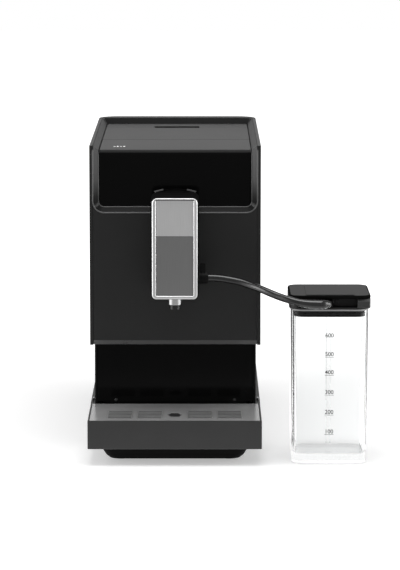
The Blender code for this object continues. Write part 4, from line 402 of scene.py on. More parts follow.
# The first eight are named after the solids' material slots, the others are for single pieces.
finishes = {
    "matte_black": moulded("matt black case", 0.0125, 0.48, level=0.42),
    "gloss_black": moulded("gloss black front", 0.002, 0.1, 0.004, 3e-6, 0.04, 0.1),
    "column_black": moulded("gloss black column", 0.0036, 0.18, 0.003, 4e-6, 0.05, 0.12),
    "panel_grey": moulded("satin black lids", 0.0125, 0.44, 0.0006, 8e-6, 0.03, 0.17),
    "tray_grey": moulded("satin dark grey tray", 0.034, 0.42, 0.0005, 2e-5, 0.05),
    "inner_black": moulded("plain black inner parts", 0.011, 0.6, 0.0012, 6e-5, 0.1),
    "rubber_black": moulded("black rubber", 0.003, 0.2, 0.0008, 6e-6, 0.06, 0.8),
    "nylon": moulded("natural nylon", (0.62, 0.6, 0.52), 0.45, 0.002, 3e-5, 0.08, 0.5, 0.08),
    # A lighter black with a satin shine; the lighter colour is painted sheen.
    "painted sheen edges": moulded("black edges with painted sheen", 0.03, 0.24, 0.0006, 4e-6, 0.04, 0.8),
    "boot rubber": moulded("smooth black rubber", 0.005, 0.17, 0.001, 4e-6, 0.05, 0.9),
    "drip plate": moulded("grey drip plate", 0.29, 0.26, 0.0008, 3e-6, 0.015),
    "louvre grey": moulded("grey louvre bars", 0.2, 0.4, 0.0006, 1e-5, 0.04),
    # A light grey painted on the channel's rolled shoulders, as a highlight.
    "painted shoulder highlight": moulded("rolled shoulders, painted highlight", 0.24, 0.28, *SLEEK, 0.8),
    "plinth black": moulded("dull black plinth", 0.012, 0.75, *SATIN, 0.04),
    "band black": moulded("satin black band", 0.009, 0.36, *SATIN, 0.5),
    "pale lip highlight": moulded("pale lip, painted highlight", 0.45, 0.25, *SLEEK),
    # A grey painted on rolled edges and beads, as a highlight line.
    "painted edge highlight": moulded("rolled edges, painted highlight", 0.09, 0.28, *SLEEK, 0.8),
    # Nearly black, painted as shade in gaps, on edges and on the dispenser's top.
    "shadow black": moulded("black painted as shade", 0.0048, 0.8, *SATIN, 0.02),
    # A duller black: the low shine is real, the darker colour is painted shade.
    "painted shade dull black": moulded("rim in dull painted shade", 0.004, 0.5, *SATIN, 0.16),
    "lid black": moulded("satin black jug lid", 0.0055, 0.5, 0.0006, 6e-6, 0.04, 0.2),
}
print(len(finishes), "moulded finishes")

# %% [markdown]
# ## Metals
# Brushed metal has long fine scratches along one direction. A noise that is stretched a
# hundredfold gives them, and it moves the roughness and a very small bump. Chrome has only a
# little haze. On turned parts a plain fine noise serves.

# %% Metal finishes
def metal(name, colour, roughness, stretch=(1, 1, 1), scratch=0.0009, depth=4e-6, haze=0.06):
    finish = Finish(name)
    lines = finish.noise(scratch, 3.0, stretch)
    patches = finish.noise(size=0.02, detail=3.0)
    finish.set(Base_Color=finish.mix(shade(colour, 0.9), shade(colour, 1.08), lines), Metallic=1.0,
               Roughness=roughness + haze * (patches - 0.5) + 2 * haze * (lines - 0.5))
    finish.bump(lines, depth)
    return finish


UPRIGHT_GRAIN = (30, 30, 0.5)
finishes.update({
    "chrome": metal("polished chrome", 0.8, 0.17, depth=1e-6, haze=0.03),
    "steel": metal("plain steel", 0.5, 0.33, (1, 1, 12)),
    "dark_steel": metal("dark tempered steel", (0.2, 0.195, 0.2), 0.38),
    "brass": metal("brass", (0.72, 0.49, 0.19), 0.3, haze=0.1),
    "aluminium": metal("cast aluminium", (0.6, 0.61, 0.62), 0.45, scratch=0.0014, depth=3e-5),
    "upper plate": metal("light brushed plate", 0.92, 0.42, UPRIGHT_GRAIN, 0.012),
    "bright frame": metal("satin chrome", 0.95, 0.4, depth=1e-6, haze=0.02),
    "lower plate": metal("dark brushed plate", 0.34, 0.42, UPRIGHT_GRAIN, 0.012),
})
print(len(finishes), "finishes so far")


# %% [markdown]
# ## Clear plastics
# The jug and the water tank are clear plastic. Their light goes through the wall, so the finish
# transmits it, with a slight haze and the faint waviness of a moulded wall.

# %% Clear finishes
WALL_COAT, WAVE_DEPTH = 0.3, 2e-5


def clear(name, colour, roughness, bending=1.12):
    finish = Finish(name)
    patches = finish.noise(size=0.03)
    finish.set(Base_Color=finish.mix(shade(colour, 0.98), colour, patches),
               Roughness=roughness + 0.02 * patches, Transmission_Weight=1.0, IOR=bending,
               Coat_Weight=WALL_COAT, Coat_Roughness=0.02, Coat_IOR=1.49)
    finish.bump(patches, WAVE_DEPTH)
    return finish


finishes.update({
    "clear_plastic": clear("clear jug plastic", (0.985, 0.99, 0.99), 0.01),
    "clear tube": clear("clear suction tube", (0.99, 0.99, 0.99), 0.02, 1.04),
    "tinted tank": clear("tinted tank plastic", (0.8, 0.83, 0.85), 0.03, 1.3),
    "smoked_plastic": clear("smoked plastic", (0.42, 0.41, 0.4), 0.05),
})
print(len(finishes), "finishes with the clear ones")


# %% [markdown]
# ## The circuit boards
# A board is green lacquer over copper tracks. The tracks are a grid of fine stepped lines that
# shows as a lighter green, a little raised.

# %% Board finish
def board():
    finish = Finish("green circuit board")
    tracks = finish.node("TexBrick", {"offset": 0.5}, {
        "Vector": finish.place(), "Scale": 150.0, "Mortar Size": 0.02, "Color1": (1, 1, 1, 1),
        "Color2": (0.7, 0.7, 0.7, 1), "Mortar": (0, 0, 0, 1)}, output="Fac")
    patches = finish.noise(size=0.01, detail=3.0)
    finish.set(Base_Color=finish.mix((0.01, 0.075, 0.03), (0.03, 0.17, 0.07), tracks * patches),
               Roughness=0.3 + 0.2 * patches)
    finish.bump(tracks, 4e-5)
    return finish


finishes["board_green"] = board()

# %% [markdown]
# ## Inks, and the hose's rubber
# The touch signs are lit from behind, so their white glows a little. The jug's numbers are dark
# ink. The hose was made before there were finishes, and it gets its rubber now.

# %% Inks and the hose's rubber
finishes["glowing ink"] = moulded("glowing white ink", 0.8, 0.5, *PRINTED)
finishes["glowing ink"].set(Emission_Color=(1, 1, 1, 1), Emission_Strength=0.8)
finishes["dark ink"] = moulded("dark printed ink", 0.006, 0.5, *PRINTED)
for half in hose_halves:
    half.data.materials.clear()
    half.data.materials.append(finishes["rubber_black"].material)
print("finishes:", ", ".join(finishes))

# %% [markdown]
# ## Rounded copies of the solids
# No real edge is perfectly sharp: a moulded edge has a small radius that catches a line of light.
# A solid's mesh is loose triangles, so its copy is merged, its flat faces are joined into single
# faces again, and then a Bevel modifier rounds the edges. The solid itself stays as it is, hidden.
# The table groups the solids by the radius of their edges. Those at 0.0 are only smoothed.

# %% Edge radius of each solid, in millimetres
EDGE_RADII = {
    1.1: "hood_shell",
    1.0: "jug_lid",
    0.9: "dispenser_frame lid_cap",
    0.8: "gloss_fascia chassis base_pan drip_tray",
    0.6: "left_side_panel right_side_panel rear_cover dispenser_body",
    0.5: "service_door grounds_container bean_lid tank_lid water_tank grinder_housing "
         "grinder_motor brew_motor water_pump thermoblock",
    0.4: "tray_float spout_ring foot_front_left foot_front_right foot_rear_left foot_rear_right "
         "mains_inlet_gland bean_hopper brew_frame brew_cylinder brew_piston",
    0.35: "drip_grid",
    0.3: "twin_nozzle hose_socket hose_elbow valve_seat grind_knob grounds_chute pump_saddle",
    0.25: "dispenser_lower_plate dispenser_upper_plate",
    0.2: "tank_lid_pin suction_tube brew_spindle",
    0.15: "ring_burr cone_burr burr_gear",
    0.1: "motor_pinion control_board power_board",
    0.0: "inlet_tube pressure_tube",
}

# %% Finish of each solid
slots = {part["node"]: part["material_slot"] for part in frame["record"]["subparts"]}
finish_of = {
    "dispenser_upper_plate": "upper plate", "dispenser_lower_plate": "lower plate",
    "dispenser_body": "gloss_black", "dispenser_frame": "bright frame",
    "suction_tube": "clear tube", "water_tank": "tinted tank", "drip_grid": "drip plate",
    "lid_cap": "lid black", "tank_lid_pin": "dark_steel", "hose_elbow": "boot rubber",
    "hose_socket": "painted shade dull black",
}

# %% [markdown]
# The gloss front is cut by the channel in which the dispenser slides. The channel's top edge is
# rolled wider than the others, in a bevel of its own that comes before theirs.

# %% Rounded copies
MERGE_DISTANCE, FLAT_ANGLE = 1e-6, math.radians(0.4)
CHANNEL_ROLL, CHANNEL_HALF, CHANNEL_LOW, CHANNEL_HIGH = 0.0024, 0.0201, 0.26, 0.277
FASCIA_FACE, NEAR = 0.0045, 0.0002


def on_channel_edge(middle, way):
    """A test for pick: the front edge round the top of the dispenser's channel."""
    place = middle - ORIGIN
    return (abs(place.x) < CHANNEL_HALF and CHANNEL_LOW < place.z < CHANNEL_HIGH
            and abs(place.y - FASCIA_FACE) < NEAR)


def rounded_copy(name, radius):
    only(nodes[name])
    bpy.ops.object.duplicate()
    copy = bpy.context.object
    copy.parent = None
    for key in [key for key in copy.keys() if key.startswith("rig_")]:
        del copy[key]
    copy.name = copy.data.name = name + "_rounded"
    only(copy)
    bpy.ops.object.mode_set(mode="EDIT")
    bpy.ops.mesh.customdata_custom_splitnormals_clear()
    bpy.ops.mesh.select_all(action="SELECT")
    bpy.ops.mesh.remove_doubles(threshold=MERGE_DISTANCE)
    bpy.ops.mesh.dissolve_limited(angle_limit=FLAT_ANGLE)
    done()
    if name == "gloss_fascia":
        bevel_some(copy, on_channel_edge, CHANNEL_ROLL, 4)
    return round_edges(copy, radius) if radius else smooth(copy)


def dress(piece, finish, body, solid=None):
    """Gives a piece a finish and a body, and hides the solid that it stands for, if one is given.
    """
    piece.data.materials.clear()
    piece.data.materials.append(finishes[finish].material)
    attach(piece, body)
    if solid:
        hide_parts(solid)
    return piece


rounded = {}
for millimetres, names in EDGE_RADII.items():
    for name in names.split():
        copy, finish = rounded_copy(name, millimetres / 1000), finish_of.get(name, slots[name])
        rounded[name] = dress(copy, finish, nodes[name]["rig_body"], name)
print(len(rounded), "solids rounded,", sum(len(c.data.polygons) for c in rounded.values()), "faces")

# %% [markdown]
# ## Second finishes
# A moulded part is often satin on one face and glossy on the next. Such faces get a second material
# on the same mesh, and so do faces with painted light: rolled edges painted lighter as highlight
# and sheen, and gaps, tops and edges painted darker as shade. They are chosen by their place,
# measured as `at` takes it, and by the direction in which they look.

# %% Faces with a finish of their own
FLAT_NORMAL = 0.985  # past this a face is flat and not part of a rounded edge
SHOULDER_INNER, SHOULDER_OUTER = 0.0125, 0.0235  # the channel's shoulders, sideways
SHOULDER_LOW, SHOULDER_HIGH = 0.2725, 0.279
BAND_HALF, BAND_DEPTH = 0.0878, 0.007  # the bevelled band round the hood's front
BAND_FRONT, BAND_REAR = -0.83, -0.72  # how far its bevel looks forwards, at the most and least
LEDGE_Z, PLINTH_Z = 0.118, 0.017  # the hood's lower edge and the plinth's top
RIM_Z, RIM_Y = 0.315, 0.2  # above and behind these the rim slopes down at the rear
# A way.z of 1 looks straight up, 0 to the side. A way.y of -1 looks straight to the front.


def refinish(name, finish, test):
    """Gives a second finish to the faces of a rounded copy that pass the test."""
    piece = rounded[name]
    piece.data.materials.append(finishes[finish].material)
    second = len(piece.data.materials) - 1
    for face in piece.data.polygons:
        if test(face.center - ORIGIN, face.normal):
            face.material_index = second


refinish("gloss_fascia", "panel_grey", lambda place, way: way.z > 0.8)
refinish("gloss_fascia", "painted shade dull black", lambda place, way: 0.2 < way.z <= 0.8)
# The channel's shoulders are painted a light grey, as a highlight.
refinish("gloss_fascia", "painted shoulder highlight",
         lambda place, way: SHOULDER_INNER < abs(place.x) < SHOULDER_OUTER
         and SHOULDER_LOW < place.z < SHOULDER_HIGH and -FLAT_NORMAL < way.y < -0.7)
# The middle of the channel's rolled edge is painted a lighter black, as sheen.
refinish("gloss_fascia", "painted sheen edges",
         lambda place, way: abs(place.x) < SHOULDER_INNER
         and SHOULDER_LOW < place.z < SHOULDER_HIGH and -0.9 < way.y < -0.7)
refinish("hood_shell", "band black",
         lambda place, way: BAND_FRONT < way.y < BAND_REAR and abs(place.x) < BAND_HALF)
# The band's rolled edges and the hood's lower edge are painted grey, as highlight.
refinish("hood_shell", "painted edge highlight",
         lambda place, way: place.y < BAND_DEPTH and abs(place.x) < BAND_HALF
         and (-FLAT_NORMAL < way.y < BAND_FRONT or BAND_REAR < way.y < -0.15))
refinish("hood_shell", "painted edge highlight",
         lambda place, way: place.z < LEDGE_Z and way.z < -0.3 and way.y < -0.3)
# The lids' rounded edges are painted near black, as shade in the gaps.
for name in ("bean_lid", "tank_lid"):
    refinish(name, "shadow black", lambda place, way: 0.05 < abs(way.z) < FLAT_NORMAL)
# Faces that look up get the duller black, darkened as painted shade.
for name in ("hood_shell", "rear_cover"):
    refinish(name, "painted shade dull black", lambda place, way: way.z > 0.4)
refinish("hood_shell", "plinth black",
         lambda place, way: place.z > RIM_Z and place.y > RIM_Y and way.y < -0.25)
refinish("base_pan", "plinth black", lambda place, way: place.z < PLINTH_Z)
# The dispenser's top and the cap's edges are painted near black, as shade.
refinish("dispenser_body", "shadow black", lambda place, way: way.z > 0.2)
refinish("lid_cap", "shadow black", lambda place, way: way.z < FLAT_NORMAL)
print(sum(len(piece.data.materials) > 1 for piece in rounded.values()), "solids refinished")

# %% [markdown]
# ## Gaps beside the lids
# Both lids and the touch strip end in a dark line where they meet the rim. Their side faces are
# moved inwards by about 0.7 mm, so that a real gap throws that shadow. All other faces stay.

# %% Narrower lids
LID_SHARE, LID_EDGE, SIDEWAYS = 0.991, 0.0785, 0.3
for name in ("bean_lid", "tank_lid", "gloss_fascia"):
    pick(rounded[name], "FACE",
         lambda middle, way: abs(middle.x - MIDDLE) > LID_EDGE and abs(way.x) > SIDEWAYS)
    bpy.ops.transform.resize(value=(LID_SHARE, 1, 1), center_override=ORIGIN)
    done()
print("side gaps", round(LID_EDGE * (1 - LID_SHARE) * 1000, 2), "mm")

# %% [markdown]
# ## New pieces from primitives
# A block or a rod is added at its size and place and then shaped. These helpers save the
# arithmetic: a block fills a range along each axis, and a rod goes from one end to the other.

# %% Blocks and rods
def around(middle, half):
    """The range that reaches half a width to each side."""
    return middle - half, middle + half


def block(name, xs, ys, zs):
    only()
    low, high = (at(*corner) for corner in zip(xs, ys, zs))
    bpy.ops.mesh.primitive_cube_add(size=1, location=(low + high) / 2, scale=high - low)
    return settle(name)


def rod(name, start, end, radius, sides):
    only()
    start, end = at(*start), at(*end)
    turn = (end - start).to_track_quat("Z", "Y").to_euler()
    bpy.ops.mesh.primitive_cylinder_add(vertices=sides, radius=radius, depth=(end - start).length,
                                        location=(start + end) / 2, rotation=turn)
    return settle(name)


def join(pieces, name):
    only(*pieces)
    bpy.ops.object.join()
    return settle(name)


# %% [markdown]
# ## Beads on the hood's band
# The bevelled band round the gloss front ends in a fine rolled bead on each edge. A bead is a tube
# down one side, round the lower corner and in to the channel, half sunk into the casing.

# %% Beads on the band
BAND_CORNER_X, BAND_CORNER_Z, BEAD_END = 0.0745, 0.2642, 0.0245
BEAD_STEPS, BEAD_TIP = 10, 0.3
# Each edge: its corner's radius, its depth behind the hood's front, the bead's radius and its top.
BEADS = ((0.0119, 0.0004, 0.0008, 0.319), (0.0062, 0.0045, 0.0006, 0.315))
beads = []
for corner, depth, radius, top in BEADS:
    for side in (-1, 1):
        line = [at(side * (BAND_CORNER_X + corner), depth, z)
                for z in (top, top - 2 * radius, BAND_CORNER_Z)]
        for step in range(1, BEAD_STEPS + 1):
            turn = math.pi / 2 * step / BEAD_STEPS
            line.append(at(side * (BAND_CORNER_X + corner * math.cos(turn)), depth,
                           BAND_CORNER_Z - corner * math.sin(turn)))
        line.append(at(side * BEAD_END, depth, BAND_CORNER_Z - corner))
        beads.append(tube("bead", line, radius, 4, [BEAD_TIP] + [1] * (len(line) - 1)))
# The beads are painted grey, as a highlight.
dress(smooth(join(beads, "band_beads")), "painted edge highlight", "root")
print("beads on", len(beads), "edges of the band")

# %% [markdown]
# ## The milk jug
# The jug is a square clear beaker with round corners and a thick floor, a little narrower at its
# foot. A block gets a smaller bottom face and four rounded upright edges. Its top face is inset by
# the wall's thickness and pushed down to the floor. Its rim and its foot are rounded last.

# %% Jug
JUG_X, JUG_Y, JUG_HALF, JUG_HEIGHT = 0.16, -0.0405, 0.04, 0.162
JUG_CORNER, JUG_WALL, JUG_FLOOR, JUG_TAPER, JUG_ROUNDING = 0.014, 0.003, 0.01, 0.965, 0.0012
jug = block("milk_jug_clear", around(JUG_X, JUG_HALF), around(JUG_Y, JUG_HALF), (0, JUG_HEIGHT))
pick(jug, "FACE", lambda middle, way: way.z < -STRAIGHT)
bpy.ops.transform.resize(value=(JUG_TAPER, JUG_TAPER, 1))
done()
bevel_some(jug, along_z, JUG_CORNER, 12)
pick(jug, "FACE", lambda middle, way: way.z > STRAIGHT)
bpy.ops.mesh.inset(thickness=JUG_WALL)
bpy.ops.mesh.extrude_region_move(
    TRANSFORM_OT_translate={"value": (0, 0, JUG_FLOOR - JUG_HEIGHT)})
bpy.ops.transform.resize(value=(JUG_TAPER, JUG_TAPER, 1))
done()
dress(round_edges(jug, JUG_ROUNDING, 4, WIDE_ANGLE), "clear_plastic", "root", "milk_jug")
print("jug", len(jug.data.polygons), "faces")

# %% [markdown]
# The jug's scale is a column of plain numbers with a short stroke under all but the top one. A
# text object is turned into a mesh and laid on the front wall as a thin film of ink.

# %% Scale on the jug
INK_THICKNESS, NUMBER_SIZE, NUMBER_WEIGHT = 6e-5, 0.006, 6e-5
SCALE_HEIGHTS = {"600": 0.1347, "500": 0.1151, "400": 0.0962, "300": 0.0753, "200": 0.0544,
                 "100": 0.0338}
SCALE_X, STROKE_DROP, STROKE_HALF, STROKE_HIGH = 0.1595, 0.0028, 0.0048, 0.0004


def wall_at(z):
    """Where the front of the tapered jug is at this height."""
    narrow = JUG_HALF * (1 - JUG_TAPER) * (1 - z / JUG_HEIGHT)
    return JUG_Y - JUG_HALF + narrow


def written(text, z):
    only()
    place = at(SCALE_X, wall_at(z) - INK_THICKNESS, z)
    bpy.ops.object.text_add(location=place, rotation=(math.pi / 2, 0, 0))
    words = bpy.context.object
    words.data.body, words.data.size = text, NUMBER_SIZE
    words.data.align_x, words.data.align_y = "CENTER", "CENTER"
    words.data.extrude, words.data.offset = INK_THICKNESS / 2, NUMBER_WEIGHT
    bpy.ops.object.convert(target="MESH")
    return bpy.context.object


scale = []
for number, z in SCALE_HEIGHTS.items():
    scale.append(written(number, z))
    if number != "600":
        wall, top = wall_at(z), z - STROKE_DROP
        scale.append(block("stroke", around(SCALE_X, STROKE_HALF), (wall - INK_THICKNESS, wall),
                           (top - STROKE_HIGH, top)))
dress(join(scale, "jug_scale"), "dark ink", "root")
print("scale with", len(SCALE_HEIGHTS), "numbers")

# %% [markdown]
# ## The seal of the jug's lid
# A soft black seal with three ribs sits inside the jug's mouth. Each rib is a flat block with
# round corners and a rounded outer edge, and a slightly smaller block holds the three together.

# %% Ribbed seal
seal_low, seal_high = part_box("lid_seal")
seal_half = (seal_high.x - seal_low.x) / 2
RIBS, RIB_GAP, RIB_CORNER, RIB_ROUNDING, RIM_HEIGHT = 3, 0.0006, 0.0105, 0.35, 0.0018
CORE_INSET, CORE_MARGIN, CORE_CORNER = 0.0012, 0.0003, 0.0095
rib_height = (seal_high.z - RIM_HEIGHT - seal_low.z + RIB_GAP) / RIBS - RIB_GAP


def slab(name, half, low, high, corner):
    """A flat block round the jug's middle with round corners."""
    piece = block(name, around(JUG_X, half), around(JUG_Y, half), (low, high))
    bevel_some(piece, along_z, corner, 10)
    return piece


ribs = [slab("seal_core", seal_half - CORE_INSET, seal_low.z + CORE_MARGIN,
             seal_high.z - CORE_MARGIN, CORE_CORNER)]
for index in range(RIBS):
    bottom = seal_low.z + index * (rib_height + RIB_GAP)
    rib = slab("rib", seal_half, bottom, bottom + rib_height, RIB_CORNER)
    ribs.append(round_edges(rib, rib_height * RIB_ROUNDING, 3, WIDE_ANGLE))
dress(smooth(join(ribs, "lid_seal_ribbed")), "gloss_black", "milk_lid", "lid_seal")
print("seal half width", round(seal_half, 4))

# %% [markdown]
# The jug's mouth shows a pale line between the lid and the seal: a light grey ring painted on as
# the clear rim's highlight. It is a flat block whose top and bottom faces are inset and bridged,
# and that leaves a ring.

# %% Lip of the jug
LIP_PROUD, LIP_DROP = 0.0001, 0.0002
lip = slab("jug_lip", JUG_HALF + LIP_PROUD, JUG_HEIGHT - RIM_HEIGHT, JUG_HEIGHT - LIP_DROP,
           JUG_CORNER)
pierce(lip, 2 * LIP_PROUD + JUG_WALL)
dress(round_edges(lip, 0.0003), "pale lip highlight", "root")

# %% [markdown]
# ## The hose's boot
# Where the hose turns into the lid, a thicker smooth boot keeps it from kinking. The boot is a tube
# along the hose's last stretch and its elbow, and each point's own radius makes the taper.

# %% Boot on the elbow
ELBOW_BEND, PORT_Y, BOOT_STEPS, BOOT_START = 0.0095, -0.0712, 7, -7
elbow_start = Vector(HOSE_ROUTE[-1])
elbow_arc = [elbow_start + ELBOW_BEND * Vector((math.sin(turn), 1 - math.cos(turn), 0))
             for turn in (math.pi / 2 * step / BOOT_STEPS for step in range(BOOT_STEPS + 1))]
boot_line = hose_line[BOOT_START:-1] + [at(*point) for point in elbow_arc]
boot_line.append(at(elbow_arc[-1].x, PORT_Y, elbow_arc[-1].z))
BOOT_RADII = [0.0039, 0.0041, 0.0043, 0.0045, 0.0047, 0.0048, 0.0048, 0.0048, 0.0047, 0.0046,
              0.0044, 0.0042, 0.0040, 0.0040, 0.0040]
# The tube's radius is 1 m, so that each point's share of it is the radius there.
boot = tube("hose_boot", boot_line, 1.0, radii=BOOT_RADII)
dress(round_edges(boot, 0.0003, angle=WIDE_ANGLE), "boot rubber", "milk_lid")

# %% [markdown]
# ## Small parts of the jug's lid
# The cap has a thin flap on top. In the niche, two pairs of small upright ribs stand beside the
# hose's port. At its right end the lid has a clip with a tiny vent hole below it.

# %% Flap and ribs
FLAP_X, FLAP_Y, FLAP_HIGH = (0.1352, 0.185), (-0.079, -0.012), 0.0005
NICHE_BACK, RIB_X, RIB_HALF = -0.0705, (0.15, 0.1524, 0.166, 0.1684), 0.0005
RIB_Y, RIB_Z = (NICHE_BACK - 0.0022, NICHE_BACK + 0.0002), (0.165, 0.1712)
cap_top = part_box("lid_cap")[1].z
flap = block("cap_flap", FLAP_X, FLAP_Y, (cap_top, cap_top + FLAP_HIGH))
dress(round_edges(flap, 0.0004), "lid black", "milk_lid")
ribs = [round_edges(block("rib", around(x, RIB_HALF), RIB_Y, RIB_Z), 0.0004, 3) for x in RIB_X]
# The ribs are painted a lighter black, as sheen.
dress(smooth(join(ribs, "niche_ribs")), "painted sheen edges", "milk_lid")

# %% Clip and vent
CLIP_X, CLIP_Z, CLIP_PROUD = (0.188, 0.2006), (0.1638, 0.1712), 0.0005
VENT_X, VENT_Z, VENT_RADIUS, VENT_PROUD = 0.1962, 0.1652, 0.001, 0.0006
lid_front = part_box("jug_lid")[0].y - FRONT
inside = lid_front + 0.001
clip = block("lid_clip", CLIP_X, (lid_front - CLIP_PROUD, inside), CLIP_Z)
# The clip is painted a lighter black, as sheen.
dress(round_edges(clip, 0.0005, 3), "painted sheen edges", "milk_lid")
vent = rod("lid_vent", (VENT_X, lid_front - VENT_PROUD, VENT_Z), (VENT_X, inside, VENT_Z),
           VENT_RADIUS, 16)
dress(round_edges(vent, 0.0002), "inner_black", "milk_lid")
print("boot, flap, ribs and vent on the lid")

# %% [markdown]
# ## Inserts of the drip plate
# The drip plate has four windows of slots, each filled by a grey louvre insert. One insert is a
# row of flat bars that lie between the slots. It is modelled once, and its copies are moved aside.

# %% Louvre inserts
WINDOW_X, WINDOW_HALF = (-0.057, -0.026, 0.026, 0.057), 0.012
BAR_EDGES = [(-0.0776, -0.0756), (-0.0720, -0.0676), (-0.0640, -0.0596), (-0.0560, -0.0516),
             (-0.0480, -0.0436), (-0.0400, -0.0380)]
PLATE_TOP, BAR_RISE, SIDE_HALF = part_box("drip_grid")[1].z, 0.0003, 0.0005
BAR_Z = (PLATE_TOP, PLATE_TOP + BAR_RISE)


def copies(piece, steps):
    """Copies of a piece, each with its own mesh, moved by the steps; the piece comes first."""
    made = [piece]
    for step in steps:
        only(piece)
        bpy.ops.object.duplicate()
        bpy.ops.transform.translate(value=step)
        made.append(bpy.context.object)
    return made


bars = [block("bar", around(WINDOW_X[0], WINDOW_HALF), edges, BAR_Z) for edges in BAR_EDGES]
for side in (-1, 1):
    edge = WINDOW_X[0] + side * (WINDOW_HALF + SIDE_HALF)
    bars.append(block("side", around(edge, SIDE_HALF), (BAR_EDGES[0][0], BAR_EDGES[-1][1]), BAR_Z))
inserts = copies(round_edges(join(bars, "louvre_insert_1"), 0.0001),
                 [(x - WINDOW_X[0], 0, 0) for x in WINDOW_X[1:]])
for number, insert in enumerate(inserts, start=1):
    only(insert)
    dress(settle(f"louvre_insert_{number}"), "louvre grey", nodes["drip_grid"]["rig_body"])
print(len(inserts), "louvre inserts of", len(bars), "bars")

# %% [markdown]
# ## Clips and bumps at the foot of the column
# Two small clips on the ledges beside the column hold the tray. Two round bumps are at the foot
# of the grounds container.

# %% Clips and bumps
CLIP_X, CLIP_HALF, CLIP_Y, CLIP_Z = 0.0876, 0.001, (0.027, 0.035), (0.0475, 0.0497)
BUMP_X, BUMP_Z, BUMP_RADIUS, BUMP_BACK, BUMP_FRONT = 0.063, 0.0517, 0.0016, 0.0068, 0.0052
clips, bumps = [], []
for side in (-1, 1):
    clip = block("clip", around(side * CLIP_X, CLIP_HALF), CLIP_Y, CLIP_Z)
    clips.append(round_edges(clip, 0.0005))
    bump = rod("bump", (side * BUMP_X, BUMP_BACK, BUMP_Z), (side * BUMP_X, BUMP_FRONT, BUMP_Z),
               BUMP_RADIUS, 32)
    bumps.append(round_edges(bump, 0.0007, 4))
dress(join(clips, "tray_clips"), "boot rubber", "root")
dress(join(bumps, "container_bumps"), "boot rubber", nodes["grounds_container"]["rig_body"])
print("clips and bumps at the column's foot")

# %% [markdown]
# ## Screws
# The two screws at the back have a cross recess. A black cross of two thin bars reads as one.

# %% Crosses on the rear screws
SCREWS = ("rear_screw_left", "rear_screw_right")
BAR_LONG, BAR_WIDE = 0.62, 0.16  # shares of the head's radius
BAR_SUNK, BAR_PROUD = 0.0002, 0.00015
crosses = []
for screw in SCREWS:
    low, high = (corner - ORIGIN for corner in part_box(screw))
    x, z, reach = (low.x + high.x) / 2, (low.z + high.z) / 2, (high.x - low.x) / 2
    for wide, tall in ((BAR_LONG, BAR_WIDE), (BAR_WIDE, BAR_LONG)):
        bar = block("bar", around(x, wide * reach), (high.y - BAR_SUNK, high.y + BAR_PROUD),
                    around(z, tall * reach))
        crosses.append(round_edges(bar, 8e-5))
dress(join(crosses, "screw_crosses"), "inner_black", "root")
print("crosses on", len(SCREWS), "screws")

# %% [markdown]
# ## Parts on the circuit boards
# A board is known by what is soldered on it: flat black chips with two rows of tin legs, upright
# aluminium capacitors, and white plug sockets along an edge. One of each is modelled on the
# board's upper face, and the rest are copies moved along the board.

# %% Helpers that make board parts
LEG_PITCH, LEG_WIDE, LEG_REACH, LEG_HIGH, CHIP_LIFT = 0.0013, 0.0006, 0.001, 0.0008, 0.0003
CRIMP, DOME, DIP = 0.18, 0.15, 0.0002


def chip(x, y, z, wide, deep, high):
    """A chip's body and its legs, standing on a board at the height z."""
    body = round_edges(block("chip", around(x, wide / 2), around(y, deep / 2),
                             (z + CHIP_LIFT, z + high)), 0.0002)
    legs, first = [], x - wide / 2 + LEG_PITCH
    for side in (-1, 1):
        root, tip = y + side * deep / 2, y + side * (deep / 2 + LEG_REACH)
        leg = block("leg", (first, first + LEG_WIDE), sorted((root, tip)), (z, z + LEG_HIGH))
        legs += copies(round_edges(leg, 0.0001),
                       [(LEG_PITCH * k, 0, 0) for k in range(1, int(wide / LEG_PITCH) - 1)])
    return body, legs


def capacitor(x, y, z, radius, height):
    """A can with a rounded edge and a sunk top, standing on a board at the height z."""
    can = round_edges(rod("can", (x, y, z), (x, y, z + height), radius, 32), radius * CRIMP, 3)
    pick(can, "FACE", lambda middle, way: way.z > STRAIGHT)
    bpy.ops.mesh.inset(thickness=radius * DOME)
    bpy.ops.transform.translate(value=(0, 0, -DIP))
    done()
    return can


# %% [markdown]
# The tables give each part's place and size, first on the power board and then on the control
# board, and the steps to its copies.

# %% Parts on both boards
POWER_TOP, CONTROL_TOP = 0.0276, 0.3051
CHIPS = ((0.026, 0.178, POWER_TOP, 0.01, 0.006, 0.0016),
         (0.056, 0.184, POWER_TOP, 0.01, 0.006, 0.0016),
         (0.0, 0.06, CONTROL_TOP, 0.014, 0.014, 0.0014),
         (-0.04, 0.055, CONTROL_TOP, 0.008, 0.005, 0.0014))
CANS = (((0.02, 0.146, POWER_TOP, 0.005, 0.016), [(0, 0.0125, 0), (0.042, 0, 0)]),
        ((0.022, 0.22, POWER_TOP, 0.004, 0.012), []),
        ((0.03, 0.05, CONTROL_TOP, 0.002, 0.0042), [(0.007, 0, 0), (0, 0.008, 0)]))
PLUGS = (((0.02, 0.03), (0.196, 0.201), (POWER_TOP, POWER_TOP + 0.007), 0.012),
         ((-0.025, -0.013), (0.096, 0.101), (CONTROL_TOP, CONTROL_TOP + 0.005), 0.016))
bodies, legs, cans, plugs = [], [], [], []
for part in CHIPS:
    body, feet = chip(*part)
    bodies.append(body)
    legs += feet
for part, steps in CANS:
    cans += copies(capacitor(*part), steps)
for xs, ys, zs, step in PLUGS:
    plug = round_edges(block("plug", xs, ys, zs), 0.0003)
    plugs += copies(plug, [(step, 0, 0), (2 * step, 0, 0)])
for group, name, finish in ((bodies, "board_chips", "inner_black"), (legs, "chip_legs", "steel"),
                            (cans, "board_capacitors", "aluminium"),
                            (plugs, "board_plugs", "nylon")):
    made = dress(smooth(join(group, name)), finish, "root")
    print(name, len(made.data.polygons), "faces")

